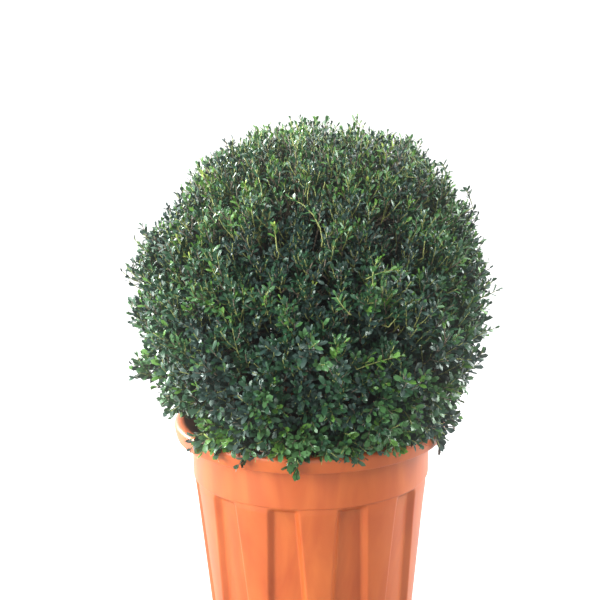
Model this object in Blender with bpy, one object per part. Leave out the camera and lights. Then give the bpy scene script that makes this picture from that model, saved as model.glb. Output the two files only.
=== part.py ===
"""Japanese holly clipped to a ball, growing in a fluted flower pot.

Metres, +Z up. The origin is the middle of the pot's flat underside, and -Y is the front.
Crown, stem and boughs are worked out from the sizes below by one seeded rule of growth.
"""

import math
import random

import bmesh
import bpy
from mathutils import Vector
from mathutils.bvhtree import BVHTree

# Clearance between pieces that touch
GAP = 0.0003

# Pot: heights above the underside, and radii
POT_HEIGHT = 0.324
BASE_RADIUS = 0.128
BAND_HEIGHT = 0.250
BAND_RADIUS = 0.153
COLLAR_HEIGHT = 0.3017
COLLAR_RADIUS = 0.173
RIM_RADIUS = 0.176
LIP_RADIUS = 0.161
WALL = 0.0035
FLOOR = 0.005
FOOT_BEVEL = 0.0015
BAND_DRAFT = 0.0005

# Rolled rim: the fillet under it out from the band and up, the hollow of the roll out from the lip
# and down from the top, the depth of the hollow behind the skirt, and the bevel of the skirt's edge
FILLET = (0.0060, 0.0130)
ROLL_HOLLOW = (0.0050, 0.0038)
SKIRT_HOLLOW = 0.0080
SKIRT_BEVEL = 0.0010

# Its rounding: in from the rim's radius and down from the top, then out from the lip and down
RIM_ROUNDING = ((0.0, 0.0070), (0.0012, 0.0030), (0.0045, 0.0006), (0.0080, 0.0))
LIP_ROUNDING = ((0.0030, 0.0008), (0.0, 0.0035))

# Flutes: hollows between ribs, which widen towards the foot of the pot
FLUTES = 11
FLUTE_DEPTH = 0.0073
FLUTE_PHASE = math.radians(13.2)
FLUTE_HALF_TOP = math.radians(4.8)
FLUTE_HALF_FOOT = math.radians(10.2)
FLUTE_SIDE = math.radians(2.9)
FLUTE_RISE = 0.0065
RIB_STEP = 0.0015

# Soil: its surface inside the rim, with a level place for the stem's foot
SOIL_HEIGHT = 0.290
SOIL_MIDDLE = 0.295
SOIL_SIDES = 33
SOIL_SLACK = GAP + 0.0004
SOIL_EDGE_WIDTH = 0.006
SOIL_EDGE_DROP = 0.002
SLOPE_RADIUS = 0.100
SLOPE_HEIGHT = 0.293
FOOT_CLEARING = 0.036

# Stem: its levels stand closer together at the foot, where the root flare dies away
STEM_RADIUS = 0.0125
STEM_FLARE = 0.0225
STEM_TIP_RADIUS = 0.0085
STEM_LEAN = 0.010
STEM_SWAY = 0.002
SWAY_RATE = 3
STEM_SIDES = 12
STEM_LEVELS = 9
LEVEL_POWER = 1.4
FLARE_RATE = 9

# Boughs: heights above the soil at which they leave the stem by turns, the bend of their
# curves, and the bearing of the first one
BOUGHS = 5
BOUGH_FOOT_RADIUS = 0.0060
BOUGH_TIP_RADIUS = 0.0045
BOUGH_SPREAD = (0.060, 0.084)
BOUGH_ROOT_HEIGHTS = (0.014, 0.023)
BOUGH_BEARING = 0.4
BEARING_SCATTER = 0.12
KNEE_SHARE = 0.55
KNEE_DROP = 0.006
BOUGH_SIDES = 8
BOUGH_LEVELS = 7
SEAT_DEPTH = 0.006

# Crown: the clipped ball, and the dense core that its twigs and leaves stand out of;
# the core is hollowed underneath, where stem and boughs enter it
BALL_RADIUS = 0.2305
BALL_CENTRE = Vector((0.0045, 0.0, 0.475))
TIP_REACH = 1.035
CORE_SHARE = 0.87
CORE_FOOT_SHARE = 0.975
CORE_SWELL_START = 0.35
CORE_SIDES = 26
CORE_LEVELS = 10
CORE_FLOOR = 0.326
CORE_CLEARANCE = 0.008
HOLLOW_HEIGHT = 0.046
HOLLOW_RINGS = (0.78, 0.52, 0.26)
VIEW_TILT = math.radians(15.0)

# Swellings and dents of the ball's outline: degrees round it as seen from the front,
# share of the radius, and spread in degrees
SWELLINGS = (
    (47, 0.050, 16),
    (22, 0.012, 14),
    (100, -0.022, 9),
    (141, -0.030, 11),
    (170, 0.016, 10),
    (-24, -0.025, 14),
)
RIPPLES = 9
RIPPLE_SIZE = 0.011
RIPPLE_RATES = (5, 10)

# Shoots of the crown, and the leaves between them, all told by one seeded rule
SEED = 11
SHOOTS = 50
SHOOT_ROOT = 0.80
SHOOT_TIP = 0.94
SHOOT_LENGTHS = (0.9, 1.05)
SHOOT_SPREAD = 0.16
LOWEST_SHOOT = -0.72
SPIRAL_SCATTER = 0.12
TWIG_RADIUS = 0.0021
TWIG_TIP_RADIUS = 0.0012
TWIG_SIDES = 3
LEAVES_BETWEEN = 240
RIM_LEAVES = 38
RIM_LEAF_SCATTER = 0.3
RIM_LEAF_RISE = (0.04, 0.10)

# Side twigs: where they fork off, how far they turn aside, their length and thickness as
# shares of what is left of the shoot and of its own thickness
FORK = (0.55, 0.65)
SIDE_TURN = 1.3
SIDE_LENGTH = 1.2
SIDE_THICKNESS = 0.8

# Twigs turn up to the light, and hang below this height on the ball of radius 1
LIFT = 0.20
HANG = -0.08
HANG_BELOW = -0.35

# Leaves: sizes, and how far along the blade it is widest and highest
LEAF_LENGTH = 0.046
LEAF_WIDTH = 0.025
LEAF_THICKNESS = 0.0030
LEAF_CUP = 0.0030
LEAF_SINK = 0.004
LEAF_WAIST = 0.56
LEAF_CREST = 0.52
LEAVES_ON_TWIG = 4
LEAVES_ON_SIDE_TWIG = 2
BLADE_TURN_ALONG = 0.5
BLADE_TURN_UP = 0.4
TIP_LEAF_PLACE = 0.95
TIP_LEAF_LEAN = (0.1, 0.5)
LEAF_PLACES = (0.42, 0.82)
LEAF_LEAN = (0.8, 1.4)
BETWEEN_LEAN = (0.45, 1.1)

# A leaf that doesn't fit is tried again, turned on and a little smaller
LEAF_TRIES = 12
FIRST_SIZE = 1.05
TRY_TURN = 0.6
TRY_SHRINK = 0.035
BETWEEN_SHRINK = 0.03

# Clear space kept round the rim and above the soil
RIM_CLEARANCE = 0.0030
SOIL_CLEARANCE = 0.0040
OVERHANG_RADIUS = 0.187
OVERHANG_HEIGHTS = (0.309, 0.344)

# Colours as red, green and blue in linear light
TERRACOTTA = (0.730, 0.205, 0.075)
PEAT = (0.012, 0.009, 0.007)
BARK = (0.130, 0.095, 0.065)
FOLIAGE = (0.030, 0.075, 0.042)

# Radius of the core's foot ring, and the height at which the stem ends in its seat
CORE_FOOT_SINE = (BALL_CENTRE.z - CORE_FLOOR) / (BALL_RADIUS * CORE_FOOT_SHARE)
CORE_FOOT_RADIUS = BALL_RADIUS * CORE_FOOT_SHARE * math.sqrt(1 - CORE_FOOT_SINE ** 2)
STEM_TOP = CORE_FLOOR + HOLLOW_HEIGHT + SEAT_DEPTH

FULL_TURN = 2 * math.pi
GOLDEN_ANGLE = math.pi * (3 - math.sqrt(5))


def clear_scene():
    for item in list(bpy.data.objects):
        bpy.data.objects.remove(item, do_unlink=True)


def material(name, colour, roughness):
    made = bpy.data.materials.new(name)
    made.use_nodes = True
    shader = made.node_tree.nodes["Principled BSDF"]
    shader.inputs["Base Color"].default_value = (*colour, 1.0)
    shader.inputs["Roughness"].default_value = roughness
    shader.inputs["Metallic"].default_value = 0.0
    return made


def mesh_object(name, points, faces, finish=None, smooth_angle=None):
    """An object of this mesh, its place in its points."""
    mesh = bpy.data.meshes.new(name)
    mesh.from_pydata([tuple(point) for point in points], [], faces)
    mesh.validate()
    if finish:
        mesh.materials.append(finish)
    if smooth_angle is not None:
        mesh.shade_smooth()
        mesh.set_sharp_from_angle(angle=smooth_angle)
    made = bpy.data.objects.new(name, mesh)
    bpy.context.scene.collection.objects.link(made)
    return made


def stacked(rings, cap_start=True):
    """Points and faces of a skin over rings of equal count, closed by flat caps at its ends."""
    count = len(rings[0])
    points = [point for ring in rings for point in ring]
    faces = []
    for level in range(len(rings) - 1):
        for side in range(count):
            a = level * count + side
            b = level * count + (side + 1) % count
            faces.append((a, b, b + count, a + count))
    if cap_start:
        faces.append(tuple(reversed(range(count))))
    last = (len(rings) - 1) * count
    faces.append(tuple(range(last, last + count)))
    return points, faces


# The pot


def rib_radius(height):
    """Radius of the pot over its ribs, which ends at the band."""
    share = min(1.0, height / BAND_HEIGHT)
    return BASE_RADIUS + (BAND_RADIUS - RIB_STEP - BASE_RADIUS) * share


def flute_corners(height):
    """Angles round the pot at which its section turns at this height, and 1 where it is a hollow."""
    drop = max(0.0, 1 - height / BAND_HEIGHT)
    half = FLUTE_HALF_TOP + (FLUTE_HALF_FOOT - FLUTE_HALF_TOP) * drop
    pitch = FULL_TURN / FLUTES
    shoulder = half + FLUTE_SIDE
    rib = pitch - 2 * shoulder
    corners = []
    for flute in range(FLUTES):
        middle = -math.pi / 2 - FLUTE_PHASE + flute * pitch
        corners += [
            (middle - half, 1),
            (middle, 1),
            (middle + half, 1),
            (middle + shoulder, 0),
            (middle + shoulder + rib / 3, 0),
            (middle + shoulder + rib * 2 / 3, 0),
            (middle + pitch - shoulder, 0),
        ]
    return corners


def fluted_ring(height, inset=0.0, depth=FLUTE_DEPTH):
    ring = []
    for angle, hollow in flute_corners(height):
        radius = rib_radius(height) - inset - depth * hollow
        ring.append((radius * math.cos(angle), radius * math.sin(angle), height))
    return ring


def round_ring(radius, height):
    count = len(flute_corners(BAND_HEIGHT))
    start = -math.pi / 2 - FLUTE_PHASE - FLUTE_HALF_TOP
    angles = [start + FULL_TURN * step / count for step in range(count)]
    return [(radius * math.cos(angle), radius * math.sin(angle), height) for angle in angles]


def inner_radius(height):
    """Radius of the pot's round inner wall below the collar."""
    return rib_radius(height) - FLUTE_DEPTH - WALL


BAND_INNER_RADIUS = BAND_RADIUS - WALL
SHOULDER_LOW = BAND_HEIGHT - 2 * WALL


def pot():
    """One moulded shell: fluted wall, plain band, and a rolled rim whose skirt hangs clear of it."""
    skirt_inner = COLLAR_RADIUS - WALL
    rings = [
        fluted_ring(0.0, inset=FOOT_BEVEL),
        fluted_ring(FOOT_BEVEL),
        fluted_ring(BAND_HEIGHT - RIB_STEP - FLUTE_RISE),
        fluted_ring(BAND_HEIGHT - RIB_STEP, depth=0.0),
    ]
    profile = [
        (BAND_RADIUS, BAND_HEIGHT),
        (BAND_RADIUS + BAND_DRAFT, COLLAR_HEIGHT),
        (BAND_RADIUS + FILLET[0], COLLAR_HEIGHT + FILLET[1]),
        (LIP_RADIUS + ROLL_HOLLOW[0], POT_HEIGHT - ROLL_HOLLOW[1]),
        (skirt_inner, POT_HEIGHT - SKIRT_HOLLOW),
        (skirt_inner, COLLAR_HEIGHT + SKIRT_BEVEL / 2),
        (COLLAR_RADIUS - SKIRT_BEVEL, COLLAR_HEIGHT),
        (COLLAR_RADIUS, COLLAR_HEIGHT + SKIRT_BEVEL),
    ]
    profile += [(RIM_RADIUS - inward, POT_HEIGHT - down) for inward, down in RIM_ROUNDING]
    profile += [(LIP_RADIUS + outward, POT_HEIGHT - down) for outward, down in LIP_ROUNDING]
    profile += [
        (BAND_INNER_RADIUS, COLLAR_HEIGHT),
        (BAND_INNER_RADIUS, BAND_HEIGHT),
        (inner_radius(SHOULDER_LOW), SHOULDER_LOW),
        (inner_radius(FLOOR), FLOOR),
    ]
    rings += [round_ring(radius, height) for radius, height in profile]
    points, faces = stacked(rings)
    terracotta = material("moulded terracotta plastic", TERRACOTTA, 0.45)
    return mesh_object("pot", points, faces, terracotta, math.radians(30))


# The soil


def soil():
    """What fills the pot, from its floor to a slightly crowned top."""
    profile = [
        (inner_radius(FLOOR) - SOIL_SLACK, FLOOR + GAP),
        (inner_radius(SHOULDER_LOW) - SOIL_SLACK, SHOULDER_LOW),
        (BAND_INNER_RADIUS - SOIL_SLACK, BAND_HEIGHT + SOIL_SLACK),
        (BAND_INNER_RADIUS - SOIL_SLACK, SOIL_HEIGHT - SOIL_EDGE_DROP),
        (BAND_INNER_RADIUS - SOIL_EDGE_WIDTH, SOIL_HEIGHT),
        (SLOPE_RADIUS, SLOPE_HEIGHT),
        (FOOT_CLEARING, SOIL_MIDDLE),
    ]
    rings = []
    for radius, height in profile:
        angles = [FULL_TURN * step / SOIL_SIDES for step in range(SOIL_SIDES)]
        rings.append([(radius * math.cos(a), radius * math.sin(a), height) for a in angles])
    points, faces = stacked(rings)
    return mesh_object("soil", points, faces, material("peat", PEAT, 0.95), math.radians(40))


# Stem and boughs


def limb_rings(centres, radii, sides, across, level_ends=False):
    """Rings across a limb that bends in the plane square to across."""
    rings = []
    last = len(centres) - 1
    for index, (centre, radius) in enumerate(zip(centres, radii)):
        before = centres[max(0, index - 1)]
        after = centres[min(last, index + 1)]
        along = (after - before).normalized()
        if level_ends and index in (0, last):
            along = Vector((0, 0, 1))
        other = along.cross(across).normalized()
        ring = []
        for side in range(sides):
            angle = FULL_TURN * side / sides
            ring.append(centre + (across * math.cos(angle) + other * math.sin(angle)) * radius)
        rings.append(ring)
    return rings


def moved_ends(rings, first, last):
    """The rings with the first and the last one moved by these vectors."""
    moved = list(rings)
    moved[0] = [point + first for point in rings[0]]
    moved[-1] = [point + last for point in rings[-1]]
    return moved


def stem_centre(height):
    share = (height - SOIL_MIDDLE) / (STEM_TOP - SOIL_MIDDLE)
    return Vector((STEM_LEAN * share * share, STEM_SWAY * math.sin(SWAY_RATE * share), height))


def stem_mesh(growth=0.0):
    """The trunk's skin, swollen by this much: root flare, taper and a slight lean."""
    foot = SOIL_MIDDLE + GAP
    centres = []
    radii = []
    for level in range(STEM_LEVELS):
        share = level / (STEM_LEVELS - 1)
        flare = (STEM_FLARE - STEM_RADIUS) * math.exp(-share * FLARE_RATE)
        radii.append(STEM_RADIUS + (STEM_TIP_RADIUS - STEM_RADIUS) * share + flare + growth)
        centres.append(stem_centre(foot + (STEM_TOP - foot) * share ** LEVEL_POWER))
    rings = limb_rings(centres, radii, STEM_SIDES, Vector((0, 1, 0)), level_ends=True)
    upward = Vector((0, 0, growth))
    return stacked(moved_ends(rings, -upward, upward))


def bough_mesh(index, growth=0.0):
    """A limb that leaves the stem low down and rises to its seat in the crown's core."""
    chance = random.Random(SEED + index)
    angle = FULL_TURN * (index + BEARING_SCATTER * chance.random()) / BOUGHS + BOUGH_BEARING
    spread = chance.uniform(*BOUGH_SPREAD)
    start = stem_centre(SOIL_MIDDLE + BOUGH_ROOT_HEIGHTS[index % 2])
    end = Vector((spread * math.cos(angle), spread * math.sin(angle), 0))
    end.z = hollow_height(end) + SEAT_DEPTH
    knee = start.lerp(end, KNEE_SHARE) - Vector((0, 0, KNEE_DROP))
    centres = []
    radii = []
    for level in range(BOUGH_LEVELS):
        t = level / (BOUGH_LEVELS - 1)
        centres.append(start * (1 - t) ** 2 + knee * 2 * t * (1 - t) + end * t * t)
        radii.append(BOUGH_FOOT_RADIUS + (BOUGH_TIP_RADIUS - BOUGH_FOOT_RADIUS) * t + growth)
    across = Vector((-math.sin(angle), math.cos(angle), 0))
    rings = limb_rings(centres, radii, BOUGH_SIDES, across)
    onward = (centres[-1] - centres[-2]).normalized() * growth
    return stacked(moved_ends(rings, -onward, onward))


def stem(bark):
    points, faces = stem_mesh()
    return mesh_object("stem", points, faces, bark, math.radians(50))


def bough(index, bark, stem_clearance):
    points, faces = bough_mesh(index)
    made = mesh_object(f"bough_{index + 1}", points, faces, bark, math.radians(50))
    cut = made.modifiers.new("clear of the stem", "BOOLEAN")
    cut.operation = "DIFFERENCE"
    cut.object = stem_clearance
    return made


def clearance(name, points, faces):
    """A limb swollen by the gap, which cuts its neighbour clear of it and isn't drawn."""
    made = mesh_object(name, points, faces)
    made.hide_render = True
    made.display_type = "WIRE"
    return made


# The crown


def view_direction(degrees):
    """The direction at this angle round the ball's outline, as seen from the front."""
    angle = math.radians(degrees)
    rise = math.sin(angle)
    return Vector((math.cos(angle), rise * math.sin(VIEW_TILT), rise * math.cos(VIEW_TILT)))


def ripple_waves():
    chance = random.Random(SEED)
    waves = []
    for _ in range(RIPPLES):
        axis = Vector([chance.gauss(0, 1) for _ in range(3)]).normalized()
        waves.append((axis, chance.uniform(*RIPPLE_RATES), chance.uniform(0, FULL_TURN)))
    return waves


WAVES = ripple_waves()


def reach(direction):
    """Radius of the clipped ball this way, with its swellings and the ripple of the shears."""
    size = 1.0
    for degrees, share, spread in SWELLINGS:
        apart = math.degrees(direction.angle(view_direction(degrees)))
        size += share * math.exp(-((apart / spread) ** 2) / 2)
    for axis, rate, phase in WAVES:
        size += RIPPLE_SIZE / math.sqrt(RIPPLES) * math.sin(rate * axis.dot(direction) + phase)
    return BALL_RADIUS * size


def near_pot(point):
    """True where the point would touch the rim or the soil, or lie inside the pot's wall."""
    radius = math.hypot(point.x, point.y)
    if radius > RIM_RADIUS + RIM_CLEARANCE:
        return False
    if radius > LIP_RADIUS - RIM_CLEARANCE:
        return point.z < POT_HEIGHT + RIM_CLEARANCE
    if radius > BAND_INNER_RADIUS - 2 * RIM_CLEARANCE:
        return point.z < POT_HEIGHT
    return point.z < SOIL_MIDDLE + SOIL_CLEARANCE


def in_crown(point):
    """True inside the crown's own space: the ball, and what spills over the rim."""
    if near_pot(point):
        return False
    low, high = OVERHANG_HEIGHTS
    if low < point.z < high and math.hypot(point.x, point.y) < OVERHANG_RADIUS:
        return True
    offset = point - BALL_CENTRE
    return offset.length <= reach(offset.normalized()) * TIP_REACH


def hollow_height(point):
    """Height of the core's arched underside over this place."""
    share = min(1.0, math.hypot(point.x - BALL_CENTRE.x, point.y) / CORE_FOOT_RADIUS)
    return CORE_FLOOR + HOLLOW_HEIGHT * (1 - share * share)


def core_share(direction):
    """The core's share of the ball this way: it swells at the foot, to hide the soil."""
    swell = (-direction.z - CORE_SWELL_START) / (CORE_FOOT_SINE - CORE_SWELL_START)
    return CORE_SHARE + (CORE_FOOT_SHARE - CORE_SHARE) * min(1.0, max(0.0, swell))


def core():
    """The dense inside of the crown, arched underneath, and cut clear of stem and boughs."""
    lowest = -math.asin(CORE_FOOT_SINE)
    rings = []
    for level in range(1, CORE_LEVELS + 1):
        rise = math.pi / 2 + (lowest - math.pi / 2) * level / CORE_LEVELS
        ring = []
        for side in range(CORE_SIDES):
            angle = FULL_TURN * side / CORE_SIDES
            flat = math.cos(rise)
            direction = Vector((flat * math.cos(angle), flat * math.sin(angle), math.sin(rise)))
            point = BALL_CENTRE + direction * reach(direction) * core_share(direction)
            point.z = max(point.z, CORE_FLOOR)
            ring.append(point)
        rings.append(ring)
    for share in HOLLOW_RINGS:
        ring = []
        for side in range(CORE_SIDES):
            angle = FULL_TURN * side / CORE_SIDES
            outward = Vector((math.cos(angle), math.sin(angle), 0))
            point = BALL_CENTRE + outward * CORE_FOOT_RADIUS * share
            point.z = hollow_height(point)
            ring.append(point)
        rings.append(ring)
    points, faces = stacked([list(reversed(ring)) for ring in rings], cap_start=False)
    top = len(points)
    points.append(BALL_CENTRE + Vector((0, 0, reach(Vector((0, 0, 1))) * CORE_SHARE)))
    faces += [(top, (side + 1) % CORE_SIDES, side) for side in range(CORE_SIDES)]
    return mesh_object("crown", points, faces)


def spiral_places(count, turn, chance):
    """Directions on a golden spiral over the ball, down to where it meets the pot."""
    places = []
    for index in range(count):
        height = 1 - (1 - LOWEST_SHOOT) * (index + 0.5) / count
        angle = turn + index * GOLDEN_ANGLE + chance.uniform(-SPIRAL_SCATTER, SPIRAL_SCATTER)
        flat = math.sqrt(1 - height * height)
        places.append(Vector((flat * math.cos(angle), flat * math.sin(angle), height)))
    return places


def rim_places(chance):
    """Directions of the leaves that spread over the pot's rim."""
    places = []
    for index in range(RIM_LEAVES):
        scatter = chance.uniform(-RIM_LEAF_SCATTER, RIM_LEAF_SCATTER)
        angle = FULL_TURN * (index + scatter) / RIM_LEAVES
        height = -CORE_FOOT_SINE + chance.uniform(*RIM_LEAF_RISE)
        flat = math.sqrt(1 - height * height)
        places.append(Vector((flat * math.cos(angle), flat * math.sin(angle), height)))
    return places


def twig_mesh(foot, tip, foot_radius):
    """A straight twig that tapers to the common tip radius."""
    along = (tip - foot).normalized()
    across = along.orthogonal().normalized()
    other = along.cross(across)
    rings = []
    angles = [FULL_TURN * side / TWIG_SIDES for side in range(TWIG_SIDES)]
    spokes = [across * math.cos(angle) + other * math.sin(angle) for angle in angles]
    for centre, radius in ((foot, foot_radius), (tip, TWIG_TIP_RADIUS)):
        rings.append([centre + spoke * radius for spoke in spokes])
    return stacked(rings)


def leaf_points(root, along, normal, size):
    """Root, tip, both sides, and the middle above and below."""
    length = LEAF_LENGTH * size
    across = along.cross(normal).normalized()
    normal = across.cross(along).normalized()
    waist = root + along * length * LEAF_WAIST + normal * LEAF_CUP
    middle = root + along * length * LEAF_CREST
    return [
        root,
        root + along * length,
        waist + across * LEAF_WIDTH * size / 2,
        waist - across * LEAF_WIDTH * size / 2,
        middle + normal * LEAF_THICKNESS / 2,
        middle - normal * LEAF_THICKNESS / 2,
    ]


LEAF_FACES = [
    (0, 2, 4), (2, 1, 4), (1, 3, 4), (3, 0, 4),
    (2, 0, 5), (1, 2, 5), (3, 1, 5), (0, 3, 5),
]


def clear_of_core(point):
    offset = point - BALL_CENTRE
    direction = offset.normalized()
    return offset.length > reach(direction) * (core_share(direction) + CORE_CLEARANCE)


def leaf_fits(points):
    root, tip, left, right = points[:4]
    blade = [tip, left, right, left.lerp(tip, 0.5), right.lerp(tip, 0.5), root.lerp(tip, 0.7)]
    return all(in_crown(point) and clear_of_core(point) for point in blade)


class Growth:
    """The twigs and leaves that stand so far, each leaf clear of all but its own twig."""

    def __init__(self):
        self.pieces = []
        self.leaves = 0

    def crosses(self, points, faces, spared):
        middle = sum(points, Vector()) / len(points)
        size = max((point - middle).length for point in points)
        tree = BVHTree.FromPolygons(points, faces)
        for other_middle, other_size, other_tree, name in self.pieces:
            if name in spared or (other_middle - middle).length > size + other_size:
                continue
            if tree.overlap(other_tree):
                return True
        return False

    def add(self, points, faces, name):
        middle = sum(points, Vector()) / len(points)
        size = max((point - middle).length for point in points)
        tree = BVHTree.FromPolygons(points, faces)
        self.pieces.append((middle, size, tree, name))
        piece = mesh_object("piece", points, faces)
        bpy.context.scene.collection.objects.unlink(piece)
        bpy.data.collections["growth"].objects.link(piece)


def grow_leaves(growth, twig, foot, tip, count, chance, outward):
    """Leaves set by turns round a twig, the last one at its tip."""
    along = (tip - foot).normalized()
    across = along.orthogonal().normalized()
    turn = chance.uniform(0, FULL_TURN)
    for index in range(count):
        last = index == count - 1
        first_place, last_place = LEAF_PLACES
        share = first_place + (last_place - first_place) * index / max(1, count - 1)
        if last:
            share = TIP_LEAF_PLACE
        turn += GOLDEN_ANGLE
        for attempt in range(LEAF_TRIES):
            angle = turn + chance.uniform(-TRY_TURN, TRY_TURN) * attempt
            sideways = across * math.cos(angle) + along.cross(across) * math.sin(angle)
            lean = chance.uniform(*(TIP_LEAF_LEAN if last else LEAF_LEAN))
            size = FIRST_SIZE - TRY_SHRINK * attempt
            direction = (along + sideways * lean).normalized()
            root = foot.lerp(tip, share) - direction * LEAF_SINK
            normal = outward + along * BLADE_TURN_ALONG + Vector((0, 0, BLADE_TURN_UP))
            points = leaf_points(root, direction, normal, size)
            if leaf_fits(points) and not growth.crosses(points, LEAF_FACES, {twig}):
                growth.add(points, LEAF_FACES, f"leaf {growth.leaves}")
                growth.leaves += 1
                break


def lift(direction):
    """Twigs turn up to the light, and hang where the crown meets the rim."""
    return Vector((0, 0, LIFT if direction.z > HANG_BELOW else HANG))


def grow_shoot(growth, number, direction, chance):
    """A twig out of the core with a side twig, and their leaves, inside the crown's space."""
    limit = reach(direction)
    foot = BALL_CENTRE + direction * limit * SHOOT_ROOT
    spread = Vector([chance.gauss(0, SHOOT_SPREAD) for _ in range(3)])
    heading = (direction + spread + lift(direction)).normalized()
    tip = foot + heading * limit * (SHOOT_TIP - SHOOT_ROOT) * chance.uniform(*SHOOT_LENGTHS)
    if not in_crown(tip) or near_pot(foot):
        return
    twig = f"twig {number}"
    points, faces = twig_mesh(foot, tip, TWIG_RADIUS)
    growth.add(points, faces, twig)
    grow_leaves(growth, twig, foot, tip, LEAVES_ON_TWIG, chance, direction)
    fork = foot.lerp(tip, chance.uniform(*FORK))
    across = heading.orthogonal().normalized()
    turn = chance.uniform(0, FULL_TURN)
    for _ in range(LEAF_TRIES):
        turn += GOLDEN_ANGLE
        sideways = across * math.cos(turn) + heading.cross(across) * math.sin(turn)
        side_heading = (heading + sideways * SIDE_TURN).normalized()
        side_tip = fork + side_heading * (tip - fork).length * SIDE_LENGTH
        side_foot = fork - side_heading * TWIG_RADIUS
        points, faces = twig_mesh(side_foot, side_tip, TWIG_RADIUS * SIDE_THICKNESS)
        clear = clear_of_core(side_tip) and in_crown(side_tip)
        if clear and not growth.crosses(points, faces, {twig}):
            side_twig = f"side {twig}"
            growth.add(points, faces, side_twig)
            count = LEAVES_ON_SIDE_TWIG
            grow_leaves(growth, side_twig, side_foot, side_tip, count, chance, direction)
            break


def grow_leaf_between(growth, direction, chance):
    """A leaf whose twig lies inside the core, so that only its blade stands out."""
    outward = direction.copy()
    across = outward.orthogonal().normalized()
    turn = chance.uniform(0, FULL_TURN)
    for attempt in range(LEAF_TRIES):
        turn += GOLDEN_ANGLE
        sideways = across * math.cos(turn) + outward.cross(across) * math.sin(turn)
        along = outward * chance.uniform(*BETWEEN_LEAN) + sideways + lift(direction)
        along.normalize()
        surface = BALL_CENTRE + outward * reach(outward) * core_share(outward)
        root = surface - along * LEAF_SINK * 2
        points = leaf_points(root, along, outward, 1.0 - BETWEEN_SHRINK * attempt)
        if leaf_fits(points) and not growth.crosses(points, LEAF_FACES, set()):
            growth.add(points, LEAF_FACES, f"leaf {growth.leaves}")
            growth.leaves += 1
            return


def outer_skin(mesh):
    """Keeps the largest closed skin, which fills sealed hollows and drops loose scraps."""
    shape = bmesh.new()
    shape.from_mesh(mesh)
    left = set(shape.faces)
    skins = []
    while left:
        skin = set()
        edge_of_search = [left.pop()]
        while edge_of_search:
            face = edge_of_search.pop()
            skin.add(face)
            for edge in face.edges:
                for near in edge.link_faces:
                    if near in left:
                        left.discard(near)
                        edge_of_search.append(near)
        skins.append(skin)
    skins.sort(key=len)
    extra = [face for skin in skins[:-1] for face in skin]
    bmesh.ops.delete(shape, geom=extra, context="FACES")
    shape.to_mesh(mesh)
    shape.free()


def applied(made):
    """The object's mesh as its modifiers leave it, in place of them."""
    graph = bpy.context.evaluated_depsgraph_get()
    mesh = bpy.data.meshes.new_from_object(made.evaluated_get(graph))
    made.modifiers.clear()
    made.data = mesh
    return mesh


def crown(limb_clearances):
    """Core, twigs and leaves, fused into one closed solid."""
    chance = random.Random(SEED + 2)
    made = core()
    for limb in limb_clearances:
        cut = made.modifiers.new("clear of a limb", "BOOLEAN")
        cut.operation = "DIFFERENCE"
        cut.object = limb
    applied(made)
    collection = bpy.data.collections.new("growth")
    bpy.context.scene.collection.children.link(collection)
    growth = Growth()
    for number, direction in enumerate(spiral_places(SHOOTS, 0.0, chance)):
        grow_shoot(growth, number, direction, chance)
    places = spiral_places(LEAVES_BETWEEN, 1.0, chance) + rim_places(chance)
    for direction in places:
        grow_leaf_between(growth, direction, chance)
    union = made.modifiers.new("one mass", "BOOLEAN")
    union.operation = "UNION"
    union.operand_type = "COLLECTION"
    union.collection = collection
    union.solver = "MANIFOLD"
    joined = applied(made)
    for piece in list(collection.objects):
        bpy.data.objects.remove(piece, do_unlink=True)
    bpy.data.collections.remove(collection)
    outer_skin(joined)
    joined.materials.clear()
    joined.materials.append(material("foliage", FOLIAGE, 0.5))
    return made


def main():
    clear_scene()
    bark = material("bark", BARK, 0.85)
    pot()
    soil()
    stem(bark)
    stem_clearance = clearance("stem clearance", *stem_mesh(growth=GAP))
    limb_clearances = [stem_clearance]
    for index in range(BOUGHS):
        bough(index, bark, stem_clearance)
        name = f"bough {index + 1} clearance"
        limb_clearances.append(clearance(name, *bough_mesh(index, growth=GAP)))
    crown(limb_clearances)


main()
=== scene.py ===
"""Japanese holly clipped to a ball in a fluted pot: what it looks like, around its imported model.

Metres, +Z up, and the photograph's side is -Y. Pot, soil, stem and boughs are modelled here again
with their fine shape. The crown grows on from the boughs by the source's rule, down to its leaves.
"""

import math
import random

import bmesh
import bpy
import numpy as np
from mathutils import Matrix, Vector


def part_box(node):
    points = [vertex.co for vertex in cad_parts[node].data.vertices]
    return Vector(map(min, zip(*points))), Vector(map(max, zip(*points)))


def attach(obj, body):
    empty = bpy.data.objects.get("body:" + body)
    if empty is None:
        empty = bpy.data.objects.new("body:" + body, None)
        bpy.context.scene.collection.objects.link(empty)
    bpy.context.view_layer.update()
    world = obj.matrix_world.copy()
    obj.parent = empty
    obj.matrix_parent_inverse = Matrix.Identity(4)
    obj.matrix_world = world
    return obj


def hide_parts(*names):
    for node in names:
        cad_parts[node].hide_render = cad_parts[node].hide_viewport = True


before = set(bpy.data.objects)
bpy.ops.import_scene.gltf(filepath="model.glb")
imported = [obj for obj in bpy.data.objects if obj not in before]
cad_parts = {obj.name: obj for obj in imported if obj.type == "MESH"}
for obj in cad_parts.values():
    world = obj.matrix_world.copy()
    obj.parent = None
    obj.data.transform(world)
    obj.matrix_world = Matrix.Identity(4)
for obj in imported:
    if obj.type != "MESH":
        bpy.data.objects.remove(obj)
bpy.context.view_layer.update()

FULL_TURN = 2 * math.pi
GOLDEN_ANGLE = math.pi * (3 - math.sqrt(5))
UP = Vector((0, 0, 1))
SEED = 11

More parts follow.
